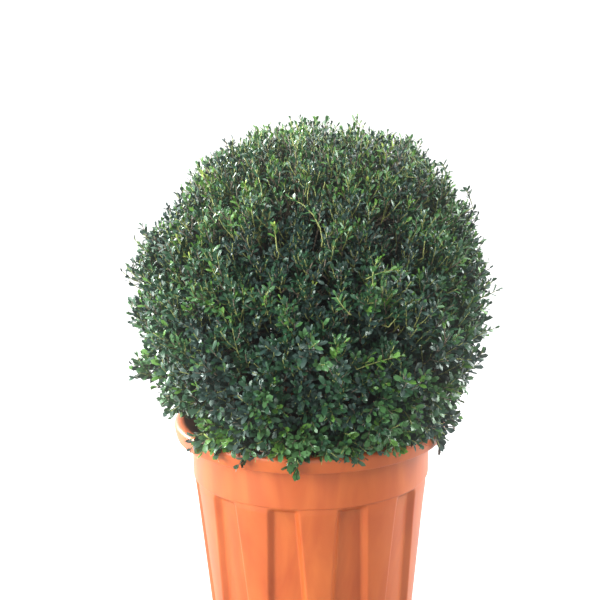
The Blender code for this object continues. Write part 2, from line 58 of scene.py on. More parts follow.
# Pot, as in the source
POT_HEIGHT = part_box("pot")[1].z
BASE_RADIUS = 0.128
BAND_HEIGHT = 0.250
BAND_RADIUS = 0.153
COLLAR_HEIGHT = 0.3017
COLLAR_RADIUS = 0.173
RIM_RADIUS = 0.176
LIP_RADIUS = 0.161
WALL = 0.0035
FLOOR = 0.005
FLUTES = 11
FLUTE_DEPTH = 0.0073
FLUTE_PHASE = math.radians(13.2)
FLUTE_HALF_TOP = math.radians(4.8)
FLUTE_HALF_FOOT = math.radians(10.2)
FLUTE_SIDE = math.radians(2.9)
FLUTE_RISE = 0.0065
RIB_STEP = 0.0015

# Pot's finer shape: half the width of a flute's rounded edges, the rings that round its foot, told
# as how far in and up they lie, the heights of the rings over them, and the rings over which the
# flutes run out, told as how far up they lie and their share of the depth
FLUTE_EDGE = math.radians(0.45)
FOOT_RINGS = ((0.0040, 0.0), (0.0012, 0.0), (0.0001, 0.0010))
WALL_HEIGHTS = (0.0040, 0.080, 0.160, 0.225)
RUN_OUT_RINGS = (
    (-0.0015, 1.0),
    (0.0010, 0.92),
    (FLUTE_RISE / 2, 0.50),
    (FLUTE_RISE - 0.0008, 0.06),
    (FLUTE_RISE, 0.0),
    (FLUTE_RISE + 0.0006, 0.0),
)
HOLLOW_COLUMNS = 4
POT_CREASE = math.radians(50)

# Soil: its slack in the pot, the inset of its foot, the rise over its shoulder, and the grain and
# height of its lumps
SOIL_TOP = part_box("soil")[1].z
SOIL_HEIGHT = SOIL_TOP - 0.005
SOIL_SIDES = 96
SOIL_RINGS = 18
SOIL_SLACK = 0.0006
SOIL_FOOT_INSET = 0.002
SOIL_SHOULDER = 0.003
SOIL_SKIN = 0.002
SOIL_RELIEF = (("clods", 0.016, 0.006), ("crumbs", 0.004, 0.003))

# Loose crumbs: their number, the smallest, how much larger they get, their proportions, the relief
# of one that is 1 across, how far they stay from the wall, and how far over the soil the middle of
# one lies, as a share of its size
CRUMBS = 900
CRUMB_SIZE = 0.0015
CRUMB_GROWTH = 0.0045
CRUMB_SHAPE = (1.0, 0.8, 0.6)
CRUMB_RELIEF = (("crumb", 0.4, 0.35),)
CRUMB_MARGIN = 0.004
CRUMB_RISE = 0.2

# Stem and boughs, as in the source, with the relief of their bark
STEM_RADIUS = 0.0125
STEM_FLARE = 0.0225
STEM_TIP_RADIUS = 0.0085
STEM_LEAN = 0.010
STEM_SWAY = 0.002
SWAY_RATE = 3
STEM_SIDES = 12
STEM_LEVELS = 9
LEVEL_POWER = 1.4
FLARE_RATE = 9
STEM_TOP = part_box("stem")[1].z
BOUGHS = 5
BOUGH_FOOT_RADIUS = 0.0060
BOUGH_TIP_RADIUS = 0.0045
BOUGH_SPREAD = (0.060, 0.084)
BOUGH_ROOT_HEIGHTS = (0.014, 0.023)
BOUGH_BEARING = 0.4
BEARING_SCATTER = 0.12
KNEE_SHARE = 0.55
KNEE_DROP = 0.006
BOUGH_SIDES = 10
BOUGH_LEVELS = 8
SEAT_DEPTH = 0.006
BARK_RELIEF = (("knots", 0.012, 0.0016), ("grain", 0.003, 0.0008))

# Crown's ball, as in the source. Each swelling has its place round the outline in degrees, the
# share of the radius by which it stands out, and its spread in degrees
BALL_RADIUS = 0.2305
BALL_CENTRE = Vector((0.0045, 0.0, 0.475))
TIP_REACH = 1.075
CORE_FOOT_SHARE = 0.975
CORE_FLOOR = 0.326
HOLLOW_HEIGHT = 0.046
VIEW_TILT = math.radians(15.0)
SWELLINGS = (
    (47, 0.050, 16),
    (22, 0.012, 14),
    (100, -0.022, 9),
    (141, -0.030, 11),
    (170, 0.016, 10),
    (-24, -0.025, 14),
)
RIPPLES = 9
RIPPLE_SIZE = 0.011
RIPPLE_RATES = (5, 10)
CORE_FOOT_SINE = (BALL_CENTRE.z - CORE_FLOOR) / (BALL_RADIUS * CORE_FOOT_SHARE)
CORE_FOOT_RADIUS = BALL_RADIUS * CORE_FOOT_SHARE * math.sqrt(1 - CORE_FOOT_SINE ** 2)

# Tufts and nicks that the shears left, finer than the source's swellings and told the same way
TUFTS = (
    (-32, 0.035, 6),
    (-9, 0.135, 6),
    (13, -0.020, 6),
    (26, 0.115, 6),
    (48, 0.030, 5),
    (76, -0.100, 8),
    (92, 0.010, 5),
    (119, -0.020, 7),
    (136, -0.020, 4),
    (144, 0.090, 4),
    (155, -0.050, 5),
    (167, 0.085, 5),
    (177, -0.070, 5),
    (191, -0.050, 5),
    (206, 0.105, 6),
)

# Wood inside the crown, level by level: its share of the ball, the turn of its spiral, the number
# of branches and their radius
BRANCH_LEVELS = ((0.34, 3.4, 26, 0.0032), (0.58, 5.8, 130, 0.0019))
BRANCH_SCATTER = (0.9, 1.1)
BRANCH_RISE = (-0.05, 0.15)
BRANCH_STEPS = 5
BRANCH_TAPER = 0.85
BRANCH_FOOT = 1.5
LOWEST_BRANCH = -0.62
SPUR_RADIUS = 0.0015
SPUR_RISE = 0.004
SPUR_STEPS = 2
LIMB_SIDES = 5
TWIG_SIDES = 3

# Shoots: the source's rule, carried to finer twigs. Each layer has their number, the turn of its
# spiral, the share of the ball at which they start, and the least, greatest and likeliest share
# at which they end
OUTER_ROOT = 0.79
SHOOT_LAYERS = (
    (1300, 0.0, OUTER_ROOT, (0.88, 1.05, 0.95)),
    (430, 2.0, 0.60, (0.74, 0.84, 0.80)),
    (150, 4.0, 0.36, (0.50, 0.60, 0.55)),
)
LOWEST_SHOOT = -0.74
SPIRAL_SCATTER = 0.12
SHOOT_SPREAD = 0.16
SHOOT_STEPS = 4
SHOOT_RADIUS = 0.0012
TWIG_RADIUS = 0.0009
TWIG_TIP_RADIUS = 0.0005
GREEN_TWIGS = 0.6

# A shoot's length: the least share of the ball's radius it runs over, the least and greatest by
# which it is mended when it is grown again, and the least run that the mend is worked out from
LEAST_SHOOT = 0.04
LENGTH_MEND = (0.8, 1.7)
LEAST_RUN = 0.01

# How far shoots turn up to the light, and where on the ball of radius 1 they start to hang
LIFT = 0.45
HANG = -0.08
HANG_BELOW = -0.35
BEND = (0.5, 1.6)
HANG_BEND = (-0.2, 0.6)
HANG_BEND_BELOW = -0.45

# Side shoots: the shares of the shoot between which they fork off, how far they turn aside and
# outwards, and their length, as the least and a share of what is left of the shoot
SIDE_SHOOTS = 5
SIDE_PLACE = 0.12
SIDE_SPAN = 0.72
SIDE_TURN = (0.8, 1.5)
SIDE_OUTWARD = 0.4
SIDE_LEAST = 0.010
SIDE_LENGTH = (0.5, 0.9)
SIDE_STEPS = 2
KEEP_KIND = 0.7

# Leaf, 1 long: how far along it each row lies and how wide it is, the arch of the blade, and for
# each form the depth of its fold and the droop of its tip
LEAF_ROWS = ((0.0, 0.02), (0.34, 0.32), (0.76, 0.38), (1.0, 0.02))
LEAF_ARCH = 0.05
LEAF_FORMS = ((0.045, 0.04), (0.015, 0.10), (-0.03, 0.06))

# Leaves on a shoot: their spacing and lengths; how much smaller they are at the crown's top and
# how much longer and broader at its foot; the last ones' sizes; their lean in degrees; how often
# and how far one turns to find room; how it faces the light; and where on a blade room is tested
LEAF_SPACING = 0.0038
LEAF_LENGTH = (0.0088, 0.0140)
LEAF_BREADTH = (0.85, 1.15)
TOP_LEAF_SHRINK = 0.20
LOW_LEAF_GROWTH = 0.34
LOW_BREADTH = 0.50
FEWEST_LEAVES = 3
TIP_SIZES = (0.62, 0.82)
LEAF_LEAN = (32, 58)
TIP_LEAN = (14, 30)
LEAF_TRIES = 4
TRY_TURN = 1.0
LIGHT_PULL = 0.9
FACE_SCATTER = 0.2
BLADE_MIDDLE = 0.6
BLADE_HALF = 0.2

# How strongly leaves face outwards and upwards halfway up the ball, and how much more at its top
FACE_OUTWARDS = (0.5, -0.3)
FACE_UPWARDS = (0.55, 0.25)

# Share of a shoot that is bare below its first leaf, on each sort of shoot
SHOOT_BARE = 0.25
SIDE_BARE = 0.15
STRAY_BARE = 0.45

# Kinds of leaf by age: name, colour, roughness, wax; the old and dark colours also serve as painted
# shade. Then the share of shoots whose last leaves are younger, how many of them are, and the share of
# the ball inside which leaves take the dark colour, as painted shade
LEAF_KINDS = (
    ("leaf_old_and_shaded", "#293E38", 0.31, 0.40),
    ("leaf_dark", "#284932", 0.31, 0.34),
    ("leaf_middle", "#3C6237", 0.33, 0.24),
    ("leaf_fresh", "#4F7830", 0.36, 0.10),
    ("leaf_young", "#8CA04A", 0.38, 0.05),
    ("leaf_bronzed", "#5A4C30", 0.40, 0.10),
)
OLD_AND_SHADED, DARK, MIDDLE, FRESH, YOUNG, BRONZED = range(6)
YOUNGER = {OLD_AND_SHADED: MIDDLE, DARK: FRESH, MIDDLE: FRESH, FRESH: YOUNG}
YOUNG_TIPS = 0.18
YOUNG_LEAVES = 3
DEEP_LEAF = 0.88

# Kinds of bark
BROWN, GREEN = range(2)

# Tufts of shoots that grow together: their number, how far apart they are, and how much lower the
# leaves lie between them, in shares of the ball's radius
CLUMPS = 360
CLUMP_TURN = 1.0
CLUMP_SPREAD = math.radians(5.5)
CLUMP_SCATTER = 0.04
CLUMP_DEPTH = 0.045
CLUMP_EDGE = 1.2
CLUMP_RISE = 0.018
CLUMP_KIND = 0.75

# Pockets of shade between the sprays, where leaves take the old colour as painted shade: how far right
# and up of the ball's middle they lie as seen from the front, as shares of its radius; the same ones
# lie round its other sides
POCKETS = (
    (-0.30, 0.05),
    (-0.08, 0.29),
    (0.19, 0.09),
    (0.45, 0.29),
    (0.29, -0.36),
    (-0.08, -0.68),
    (-0.28, -0.40),
    (0.06, -0.16),
)
POCKET_TURNS = (0.0, 1.9, 4.1)
POCKET_SPREAD = math.radians(7.5)
POCKET_DEPTH = 0.15

# Shoots that have outgrown the shears since: where each leaves the leaves and where it ends, told
# as the pockets are, the shares of the ball over which they run, and how far they curl
STRAYS = (
    ((0.31, 0.08), (0.46, 0.11)),
    ((0.42, -0.19), (0.46, -0.10)),
    ((0.21, -0.12), (0.12, -0.02)),
    ((0.24, -0.42), (0.46, -0.33)),
    ((-0.19, 0.24), (-0.19, 0.34)),
    ((0.35, -0.01), (0.34, 0.17)),
    ((0.63, 0.20), (0.61, 0.33)),
    ((-0.28, 0.52), (-0.30, 0.69)),
    ((-0.02, 0.56), (-0.04, 0.67)),
    ((0.06, 0.57), (0.03, 0.68)),
    ((0.06, 0.29), (-0.11, 0.50)),
    ((-0.55, 0.50), (-0.56, 0.65)),
    ((-0.50, -0.05), (-0.56, 0.08)),
    ((-0.35, -0.62), (-0.42, -0.50)),
)
STRAY_START = 0.90
STRAY_END = 0.96
STRAY_RADIUS = 0.0010
STRAY_CURL = 0.15

# Where the crown meets the pot: clear space, how far leaves hang over the rim, and the stretch of
# rim that shows bare, in degrees round from the front
RIM_CLEARANCE = 0.0012
SOIL_CLEARANCE = 0.0040
OVERHANG_RADIUS = 0.192
OVERHANG_DROP = 0.008
BARE_RIM = (-115, -36)
BARE_RIM_RADIUS = 0.150
BARE_RIM_RISE = 0.018

# Short shoots that come out over the rim all round: their feet, the places where they bend over
# and their tips, as radii and heights; then each arch's place along its stretch and its height,
# and how far their leaves face down
RIM_SHOOTS = 60
RIM_SCATTER = 0.4
RIM_DROP = 0.004
RIM_FOOT_RADIUS = 0.118
RIM_FOOT_HEIGHTS = (0.340, 0.356)
RIM_BEND_RADII = (0.155, 0.165)
RIM_BEND_HEIGHTS = (0.334, 0.346)
RIM_TIP_RADII = (0.174, 0.184)
RIM_TIP_HEIGHT = 0.333
RIM_ARCHES = ((0.5, 0.003), (0.6, 0.002))
RIM_FACING = 0.5
RIM_SIDE_SHOOTS = 4
RIM_PULL = -0.2

# Sprigs that hang over the rim: how far round from the front, in degrees, how far down, how many
# shoots, and the age of their leaves; then how wide each sprig is, how far round its shoots are
# scattered, how much shorter some are, and how far leaves hang below a tip and start above the rim
RIM_SPRIGS = (
    (-50, 0.012, 1, MIDDLE),
    (-40, 0.009, 4, FRESH),
    (-27, 0.016, 2, DARK),
    (-8, 0.023, 5, MIDDLE),
    (17, 0.008, 2, DARK),
    (62, 0.034, 3, OLD_AND_SHADED),
    (140, 0.020, 4, MIDDLE),
    (205, 0.024, 4, FRESH),
)
SPRIG_SPREAD = 4.0
SPRIG_SCATTER = 2.0
SPRIG_DROPS = (0.5, 1.0)
SPRIG_LEAVES = 0.005
SPRIG_TOP = 0.02

# The most triangles in one joined piece
MOST_TRIANGLES = 190000

# Camera
CAMERA_PLACE = Vector((0.0, -1.836, 0.8881))
CAMERA_PITCH = 0.2210
CAMERA_YAW = 0.0060
CAMERA_ROLL = -0.0146
CAMERA_LENS = 88.49
SENSOR = 36.0

# White air: the side it is brightest on, and its least and greatest light
BRIGHT_SIDE = (-0.45, 0.74, 0.50)
AIR_DIM = 0.38
AIR_BRIGHT = 2.1

# Haze of the bright backdrop in the lens
HAZE_THRESHOLD = 0.8
HAZE_STRENGTH = 0.14
HAZE_SIZE = 0.60

# Floor, just under the pot, the strength of its painted glow, and the stretch from front to back over
# which that glow begins
FLOOR_RADIUS = 9.0
FLOOR_SIDES = 64
FLOOR_DROP = 0.0005
FLOOR_GLOW = 0.85
GLOW_STRETCH = (-0.15, 0.12)

# Lamps: name, place, size, power
LAMPS = (
    ("key_lamp", (-2.5, -1.5, 1.1), 1.7, 158.0),
    ("front_lamp", (0.4, -2.4, 0.5), 0.8, 10.0),
    ("top_lamp", (-0.5, -0.1, 2.8), 1.2, 38.0),
    ("left_rim_lamp", (-1.8, 1.2, 1.3), 1.0, 115.0),
    ("right_rim_lamp", (2.2, 0.4, 1.6), 1.5, 90.0),
)
LAMP_AIM = (0.0, 0.0, 0.40)


# Colours and materials


def linear(hex_colour):
    """The sRGB colour #RRGGBB as red, green, blue and 1 in linear light."""
    parts = [int(hex_colour[i:i + 2], 16) / 255 for i in (1, 3, 5)]
    light = [p / 12.92 if p <= 0.04045 else ((p + 0.055) / 1.055) ** 2.4 for p in parts]
    return (*light, 1.0)


def add_node(tree, kind, links=(), **settings):
    """A node of this kind. A setting whose name is an input's sets it, and links feed inputs."""
    made = tree.nodes.new(kind)
    for name, value in settings.items():
        if hasattr(made, name):
            setattr(made, name, value)
        else:
            made.inputs[name.replace("_", " ")].default_value = value
    for name, output in links:
        tree.links.new(output, made.inputs[name])
    return made


def new_material(name, colour, roughness, **shader_values):
    """A material, its tree and its Principled shader with these values."""
    made = bpy.data.materials.new(name)
    made.use_nodes = True
    tree = made.node_tree
    shader = tree.nodes["Principled BSDF"]
    shader.inputs["Base Color"].default_value = linear(colour)
    shader.inputs["Roughness"].default_value = roughness
    for key, value in shader_values.items():
        shader.inputs[key.replace("_", " ")].default_value = value
    return made, tree, shader


def spread_colours(ramp, *stops):
    """Sets the ramp's ends to these places and colours."""
    for end, (place, colour) in zip(ramp.color_ramp.elements, stops):
        end.position = place
        end.color = linear(colour)


def moulded_polypropylene():
    """Terracotta coloured polypropylene, injection moulded: satin, with cloudy flow marks."""
    made, tree, shader = new_material("moulded_polypropylene", "#B05428", 0.40, IOR=1.49,
                                      Specular_IOR_Level=0.54, Subsurface_Weight=0.15,
                                      Subsurface_Radius=(1.0, 0.35, 0.20), Subsurface_Scale=0.006)
    place = add_node(tree, "ShaderNodeTexCoord")
    stretched = add_node(tree, "ShaderNodeMapping", [("Vector", place.outputs["Object"])],
                         Scale=(1.0, 1.0, 0.28))
    clouds = add_node(tree, "ShaderNodeTexNoise", [("Vector", stretched.outputs["Vector"])],
                      Scale=26.0, Detail=3.0, Roughness=0.55, Distortion=0.8)
    colours = add_node(tree, "ShaderNodeValToRGB", [("Fac", clouds.outputs["Fac"])])
    spread_colours(colours, (0.30, "#A54917"), (0.72, "#B95E24"))
    tree.links.new(colours.outputs["Color"], shader.inputs["Base Color"])
    gloss = add_node(tree, "ShaderNodeMapRange", [("Value", clouds.outputs["Fac"])],
                     To_Min=0.36, To_Max=0.50)
    tree.links.new(gloss.outputs["Result"], shader.inputs["Roughness"])
    pores = add_node(tree, "ShaderNodeTexNoise", [("Vector", place.outputs["Object"])],
                     Scale=420.0, Detail=2.0)
    relief = add_node(tree, "ShaderNodeBump", [("Height", pores.outputs["Fac"])],
                      Strength=0.06, Distance=0.0005)
    tree.links.new(relief.outputs["Normal"], shader.inputs["Normal"])
    return made


def speckled(name, colour, roughness, noise, stops, relief):
    """A finish whose one noise gives it both its colours and its relief."""
    made, tree, shader = new_material(name, colour, roughness)
    place = add_node(tree, "ShaderNodeTexCoord")
    specks = add_node(tree, "ShaderNodeTexNoise", [("Vector", place.outputs["Object"])], **noise)
    colours = add_node(tree, "ShaderNodeValToRGB", [("Fac", specks.outputs["Fac"])])
    spread_colours(colours, *stops)
    tree.links.new(colours.outputs["Color"], shader.inputs["Base Color"])
    bump = add_node(tree, "ShaderNodeBump", [("Height", specks.outputs["Fac"])], **relief)
    tree.links.new(bump.outputs["Normal"], shader.inputs["Normal"])
    return made


def potting_peat():
    """Moist potting peat: nearly black, dull, in crumbs of a few millimetres."""
    return speckled("potting_peat", "#2A201A", 0.95,
                    {"Scale": 260.0, "Detail": 4.0, "Roughness": 0.65},
                    ((0.35, "#17110D"), (0.70, "#46362A")),
                    {"Strength": 0.6, "Distance": 0.002})


def holly_bark(name, low, high):
    """Smooth thin bark of a young holly, with paler flecks of a few millimetres."""
    return speckled(name, high, 0.80,
                    {"Scale": 300.0, "Detail": 4.0, "Roughness": 0.6},
                    ((0.35, low), (0.68, high)),
                    {"Strength": 0.5, "Distance": 0.0008})


def holly_leaf(name, colour, roughness, wax):
    """A leathery leaf: its plain colour under a waxy skin, thickest with age, that mirrors light."""
    return new_material(name, colour, roughness, IOR=1.45, Specular_IOR_Level=0.38,
                        Specular_Tint=linear("#E0FFE4"), Coat_Weight=wax,
                        Coat_Roughness=0.20)[0]


# Modelling by hand


def start_piece(name):
    """Names the primitive that was just added, and opens it with all of it selected."""
    piece = bpy.context.object
    piece.name = name
    piece.data.name = name
    bpy.ops.object.mode_set(mode="EDIT")
    bpy.ops.mesh.select_all(action="SELECT")
    return piece


def deselect():
    bpy.ops.object.select_all(action="DESELECT")


def select_points(test):
    """Selects the open piece's points that pass the test."""
    mesh = bpy.context.object.data
    bpy.ops.mesh.select_mode(type="VERT")
    bpy.ops.mesh.select_all(action="DESELECT")
    shape = bmesh.from_edit_mesh(mesh)
    for point in shape.verts:
        if test(point):
            point.select_set(True)
    shape.select_flush_mode()
    bmesh.update_edit_mesh(mesh)


def turn(angle, axis, centre=(0, 0, 0)):
    """Turns what is selected anticlockwise about the axis. With no window open, the operator goes
    the other way round, so the angle's sign is changed."""
    bpy.ops.transform.rotate(value=-angle, orient_axis=axis, center_override=centre)


def scale(across, centre=(0, 0, 0), up=1.0):
    bpy.ops.transform.resize(value=(across, across, up), center_override=centre)


def move(offset):
    bpy.ops.transform.translate(value=offset)


def extrude(offset):
    bpy.ops.mesh.extrude_region_move(TRANSFORM_OT_translate={"value": offset})


def draw_up(rings, last):
    """Extrudes the selected ring to each next radius and height in turn."""
    radius, height = last
    for next_radius, next_height in rings:
        extrude((0, 0, next_height - height))
        scale(next_radius / radius)
        radius, height = next_radius, next_height


def face_outwards():
    """Turns all faces of the open piece outwards."""
    bpy.ops.mesh.select_all(action="SELECT")
    bpy.ops.mesh.normals_make_consistent(inside=False)


def close_piece(crease=None):
    """Leaves edit mode and shades the piece smooth, but for creases sharper than this angle."""
    bpy.ops.object.mode_set(mode="OBJECT")
    if crease is None:
        bpy.ops.object.shade_smooth()
    else:
        bpy.ops.object.shade_smooth_by_angle(angle=crease)


def apply_modifier(piece, kind, **settings):
    made = piece.modifiers.new(kind.lower(), kind)
    for name, value in settings.items():
        setattr(made, name, value)
    bpy.context.view_layer.objects.active = piece
    bpy.ops.object.modifier_apply(modifier=made.name)


def subdivide(piece, levels):
    apply_modifier(piece, "SUBSURF", levels=levels, render_levels=levels)


def roughen(piece, relief, **settings):
    """Pushes the surface in and out by noises, each with its name, grain and height."""
    for name, size, height in relief:
        noise = bpy.data.textures.new(name, "CLOUDS")
        noise.noise_scale = size
        noise.noise_depth = 3
        apply_modifier(piece, "DISPLACE", texture=noise, strength=height, mid_level=0.5,
                       **settings)


def belongs(piece, node):
    """The piece rides on the plant and stands for this node, whose own part is hidden."""
    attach(piece, "root")
    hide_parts(node)


# The pot


def flute_turns(height):
    """How far each column of half a flute lies from the flute's middle at this height."""
    drop = max(0.0, 1 - height / BAND_HEIGHT)
    half = FLUTE_HALF_TOP + (FLUTE_HALF_FOOT - FLUTE_HALF_TOP) * drop
    shoulder = half + FLUTE_SIDE
    middle_of_rib = math.pi / FLUTES
    rib = middle_of_rib - shoulder - FLUTE_EDGE
    return [
        0.0,
        half * 0.5,
        half - FLUTE_EDGE,
        half + FLUTE_EDGE,
        shoulder - FLUTE_EDGE,
        shoulder + FLUTE_EDGE,
        shoulder + FLUTE_EDGE + rib * 0.5,
        middle_of_rib,
    ]


HALF_COLUMNS = len(flute_turns(0.0)) - 1
COLUMNS = FLUTES * 2 * HALF_COLUMNS
FLUTE_START = -math.pi / 2 - FLUTE_PHASE


def rib_radius(height):
    return BASE_RADIUS + (BAND_RADIUS - RIB_STEP - BASE_RADIUS) * height / BAND_HEIGHT


def wall_rings():
    """The fluted wall from foot to band: radius, height, and the flutes' share of their depth."""
    end = BAND_HEIGHT - RIB_STEP
    rings = [(rib_radius(0) - inset, rise, 1.0) for inset, rise in FOOT_RINGS]
    rings += [(rib_radius(height), height, 1.0) for height in WALL_HEIGHTS]
    rings += [(rib_radius(end), end - FLUTE_RISE + rise, share) for rise, share in RUN_OUT_RINGS]
    return rings


def rim_rings():
    """From the band over the rolled rim and down inside: radius and height."""
    skirt = COLLAR_RADIUS - WALL
    inner = BAND_RADIUS - WALL
    flutes_inside = FLUTE_DEPTH + WALL
    band = [
        (BAND_RADIUS - 0.0004, BAND_HEIGHT - 0.0006),
        (BAND_RADIUS, BAND_HEIGHT + 0.0003),
        (BAND_RADIUS, BAND_HEIGHT + 0.0030),
        (BAND_RADIUS + 0.0003, BAND_HEIGHT + 0.0250),
        (BAND_RADIUS + 0.0005, COLLAR_HEIGHT),
    ]
    skirt_inside = [
        (BAND_RADIUS + 0.0060, COLLAR_HEIGHT + 0.0130),
        (LIP_RADIUS + 0.0050, POT_HEIGHT - 0.0038),
        (skirt, POT_HEIGHT - 0.0080),
        (skirt, COLLAR_HEIGHT + 0.0015),
        (skirt + 0.0004, COLLAR_HEIGHT + 0.0002),
    ]
    skirt_outside = [
        (COLLAR_RADIUS - 0.0018, COLLAR_HEIGHT - 0.0001),
        (COLLAR_RADIUS - 0.0004, COLLAR_HEIGHT + 0.0003),
        (COLLAR_RADIUS + 0.0001, COLLAR_HEIGHT + 0.0018),
        (COLLAR_RADIUS + 0.0016, COLLAR_HEIGHT + 0.0080),
    ]
    rolled_rim = [
        (RIM_RADIUS - 0.0002, POT_HEIGHT - 0.0085),
        (RIM_RADIUS - 0.0002, POT_HEIGHT - 0.0050),
        (RIM_RADIUS - 0.0018, POT_HEIGHT - 0.0022),
        (RIM_RADIUS - 0.0045, POT_HEIGHT - 0.0006),
        (RIM_RADIUS - 0.0085, POT_HEIGHT),
        (LIP_RADIUS + 0.0030, POT_HEIGHT - 0.0006),
        (LIP_RADIUS + 0.0006, POT_HEIGHT - 0.0022),
        (LIP_RADIUS - 0.0004, POT_HEIGHT - 0.0050),
    ]
    wall_inside = [
        (inner + 0.0040, COLLAR_HEIGHT + 0.0055),
        (inner, COLLAR_HEIGHT - 0.0010),
        (inner, BAND_HEIGHT + 0.0020),
        (rib_radius(BAND_HEIGHT) - flutes_inside, BAND_HEIGHT - 2 * WALL),
        (rib_radius(FLOOR) - flutes_inside + 0.0010, FLOOR + 0.0030),
        (rib_radius(FLOOR) - flutes_inside - 0.0020, FLOOR),
    ]
    return band + skirt_inside + skirt_outside + rolled_rim + wall_inside


def shape_flutes(rings):
    """Turns each ring's columns from even steps to the flutes' corners, and presses the hollows in."""
    around = 2 * HALF_COLUMNS
    even = FULL_TURN / COLUMNS
    shape = bmesh.from_edit_mesh(bpy.context.object.data)
    columns = {}
    for point in shape.verts:
        angle = math.atan2(point.co.y, point.co.x) - FLUTE_START
        columns[point.index] = round(angle / even) % around
    for ring, (radius, height, share) in enumerate(rings):
        wanted = flute_turns(height)
        for column in range(1, HALF_COLUMNS):
            for side in (1, -1):
                select_points(lambda point: point.index // COLUMNS == ring
                              and columns[point.index] == side * column % around)
                turn(side * (wanted[column] - even * column), "Z")
        select_points(lambda point: point.index // COLUMNS == ring and min(
            columns[point.index], around - columns[point.index]) < HOLLOW_COLUMNS)
        scale((radius - FLUTE_DEPTH * share) / radius)


def close_end(above, below):
    """Closes the open ring that lies between these heights with a flat face."""
    select_points(lambda point: point.is_boundary and below < point.co.z < above)
    bpy.ops.mesh.edge_face_add()


def pot(plastic):
    """One moulded shell, drawn up ring by ring: flutes, band, rolled rim, and the wall inside."""
    deselect()
    rings = wall_rings()
    radius, height, _ = rings[0]
    bpy.ops.mesh.primitive_circle_add(vertices=COLUMNS, radius=radius, fill_type="NOTHING")
    piece = start_piece("pot_shell")
    turn(FLUTE_START - FULL_TURN / 4, "Z")
    draw_up([ring[:2] for ring in rings[1:]], (radius, height))
    shape_flutes(rings)
    select_points(lambda point: point.index // COLUMNS == len(rings) - 1)
    draw_up(rim_rings(), rings[-1][:2])
    close_piece()
    subdivide(piece, 2)
    bpy.ops.object.mode_set(mode="EDIT")
    close_end(FLOOR / 2, -FLOOR)
    close_end(FLOOR * 1.5, FLOOR / 2)
    face_outwards()
    close_piece(POT_CREASE)
    piece.data.materials.append(plastic)
    belongs(piece, "pot")


# The soil


def soil_top(radius):
    """Height of the soil's surface at this distance from the middle."""
    share = min(1.0, radius / (BAND_RADIUS - WALL))
    return SOIL_HEIGHT + (SOIL_TOP - SOIL_HEIGHT) * (1 - share * share)


def soil(peat):
    """The peat that fills the pot, its crumbly surface a little higher in the middle."""
    deselect()
    inset = FLUTE_DEPTH + WALL + SOIL_SLACK
    foot = rib_radius(FLOOR) - inset - SOIL_FOOT_INSET
    edge = BAND_RADIUS - WALL - SOIL_SLACK
    bpy.ops.mesh.primitive_circle_add(vertices=SOIL_SIDES, radius=foot, fill_type="NGON")
    piece = start_piece("soil_fill")
    move((0, 0, FLOOR + SOIL_SLACK))
    shoulder = (rib_radius(BAND_HEIGHT) - inset, BAND_HEIGHT - 2 * WALL)
    draw_up([shoulder, (edge, BAND_HEIGHT + SOIL_SHOULDER), (edge, soil_top(edge))],
            (foot, FLOOR + SOIL_SLACK))
    step = edge / (SOIL_RINGS + 1)
    for ring in range(SOIL_RINGS):
        outer = edge - ring * step
        bpy.ops.mesh.inset(thickness=step)
        move((0, 0, soil_top(outer - step) - soil_top(outer)))
    bpy.ops.mesh.poke()
    face_outwards()
    close_piece()
    subdivide(piece, 1)
    surface = piece.vertex_groups.new(name="surface")
    top = [point.index for point in piece.data.vertices if point.co.z > SOIL_HEIGHT - SOIL_SKIN]
    surface.add(top, 1.0, "ADD")
    roughen(piece, SOIL_RELIEF, direction="Z", vertex_group="surface")
    piece.data.materials.append(peat)
    belongs(piece, "soil")


def crumb_shape():
    """One crumb of peat, 1 across: a ball knocked out of round."""
    deselect()
    bpy.ops.mesh.primitive_ico_sphere_add(subdivisions=2, radius=0.5)
    piece = start_piece("crumb")
    bpy.ops.transform.resize(value=CRUMB_SHAPE)
    close_piece()
    roughen(piece, CRUMB_RELIEF)
    return take_shape(piece)


def soil_crumbs(peat, chance):
    """Loose crumbs and bits of bark that lie on the soil."""
    placed = Copies(crumb_shape())
    for _ in range(CRUMBS):
        radius = (BAND_RADIUS - WALL - CRUMB_MARGIN) * math.sqrt(chance.random())
        angle = chance.uniform(0, FULL_TURN)
        if radius < STEM_FLARE:
            continue
        size = CRUMB_SIZE + CRUMB_GROWTH * chance.random() ** 3
        place = Vector((radius * math.cos(angle), radius * math.sin(angle), soil_top(radius)))
        along = scatter(chance, 1).normalized()
        placed.add(place + UP * size * CRUMB_RISE, along, along.orthogonal(), size, 0)
    belongs(placed.piece("soil_crumbs", [peat]), "soil")


# Many small things: a shape modelled once, and joined copies of it


def scatter(chance, size):
    """An offset of about this size in any direction."""
    return Vector([chance.gauss(0, size) for _ in range(3)])


def take_shape(piece):
    """The piece's points and triangles as arrays, in place of the piece."""
    mesh = piece.data
    mesh.calc_loop_triangles()
    points = np.array([point.co for point in mesh.vertices])
    triangles = np.array([face.vertices for face in mesh.loop_triangles])
    bpy.data.objects.remove(piece)
    return points, triangles


def joined_piece(name, points, triangles, materials, kinds):
    """One smooth piece of these points and triangles, each triangle with its kind of finish."""
    mesh = bpy.data.meshes.new(name)
    mesh.vertices.add(len(points))
    mesh.vertices.foreach_set("co", np.asarray(points, np.float32).ravel())
    mesh.loops.add(triangles.size)
    mesh.loops.foreach_set("vertex_index", triangles.astype(np.int32).ravel())
    mesh.polygons.add(len(triangles))
    mesh.polygons.foreach_set("loop_start", np.arange(0, triangles.size, 3, dtype=np.int32))
    for finish in materials:
        mesh.materials.append(finish)
    mesh.polygons.foreach_set("material_index", np.asarray(kinds, np.int32))
    mesh.update(calc_edges=True)
    mesh.shade_smooth()
    piece = bpy.data.objects.new(name, mesh)
    bpy.context.scene.collection.objects.link(piece)
    return piece


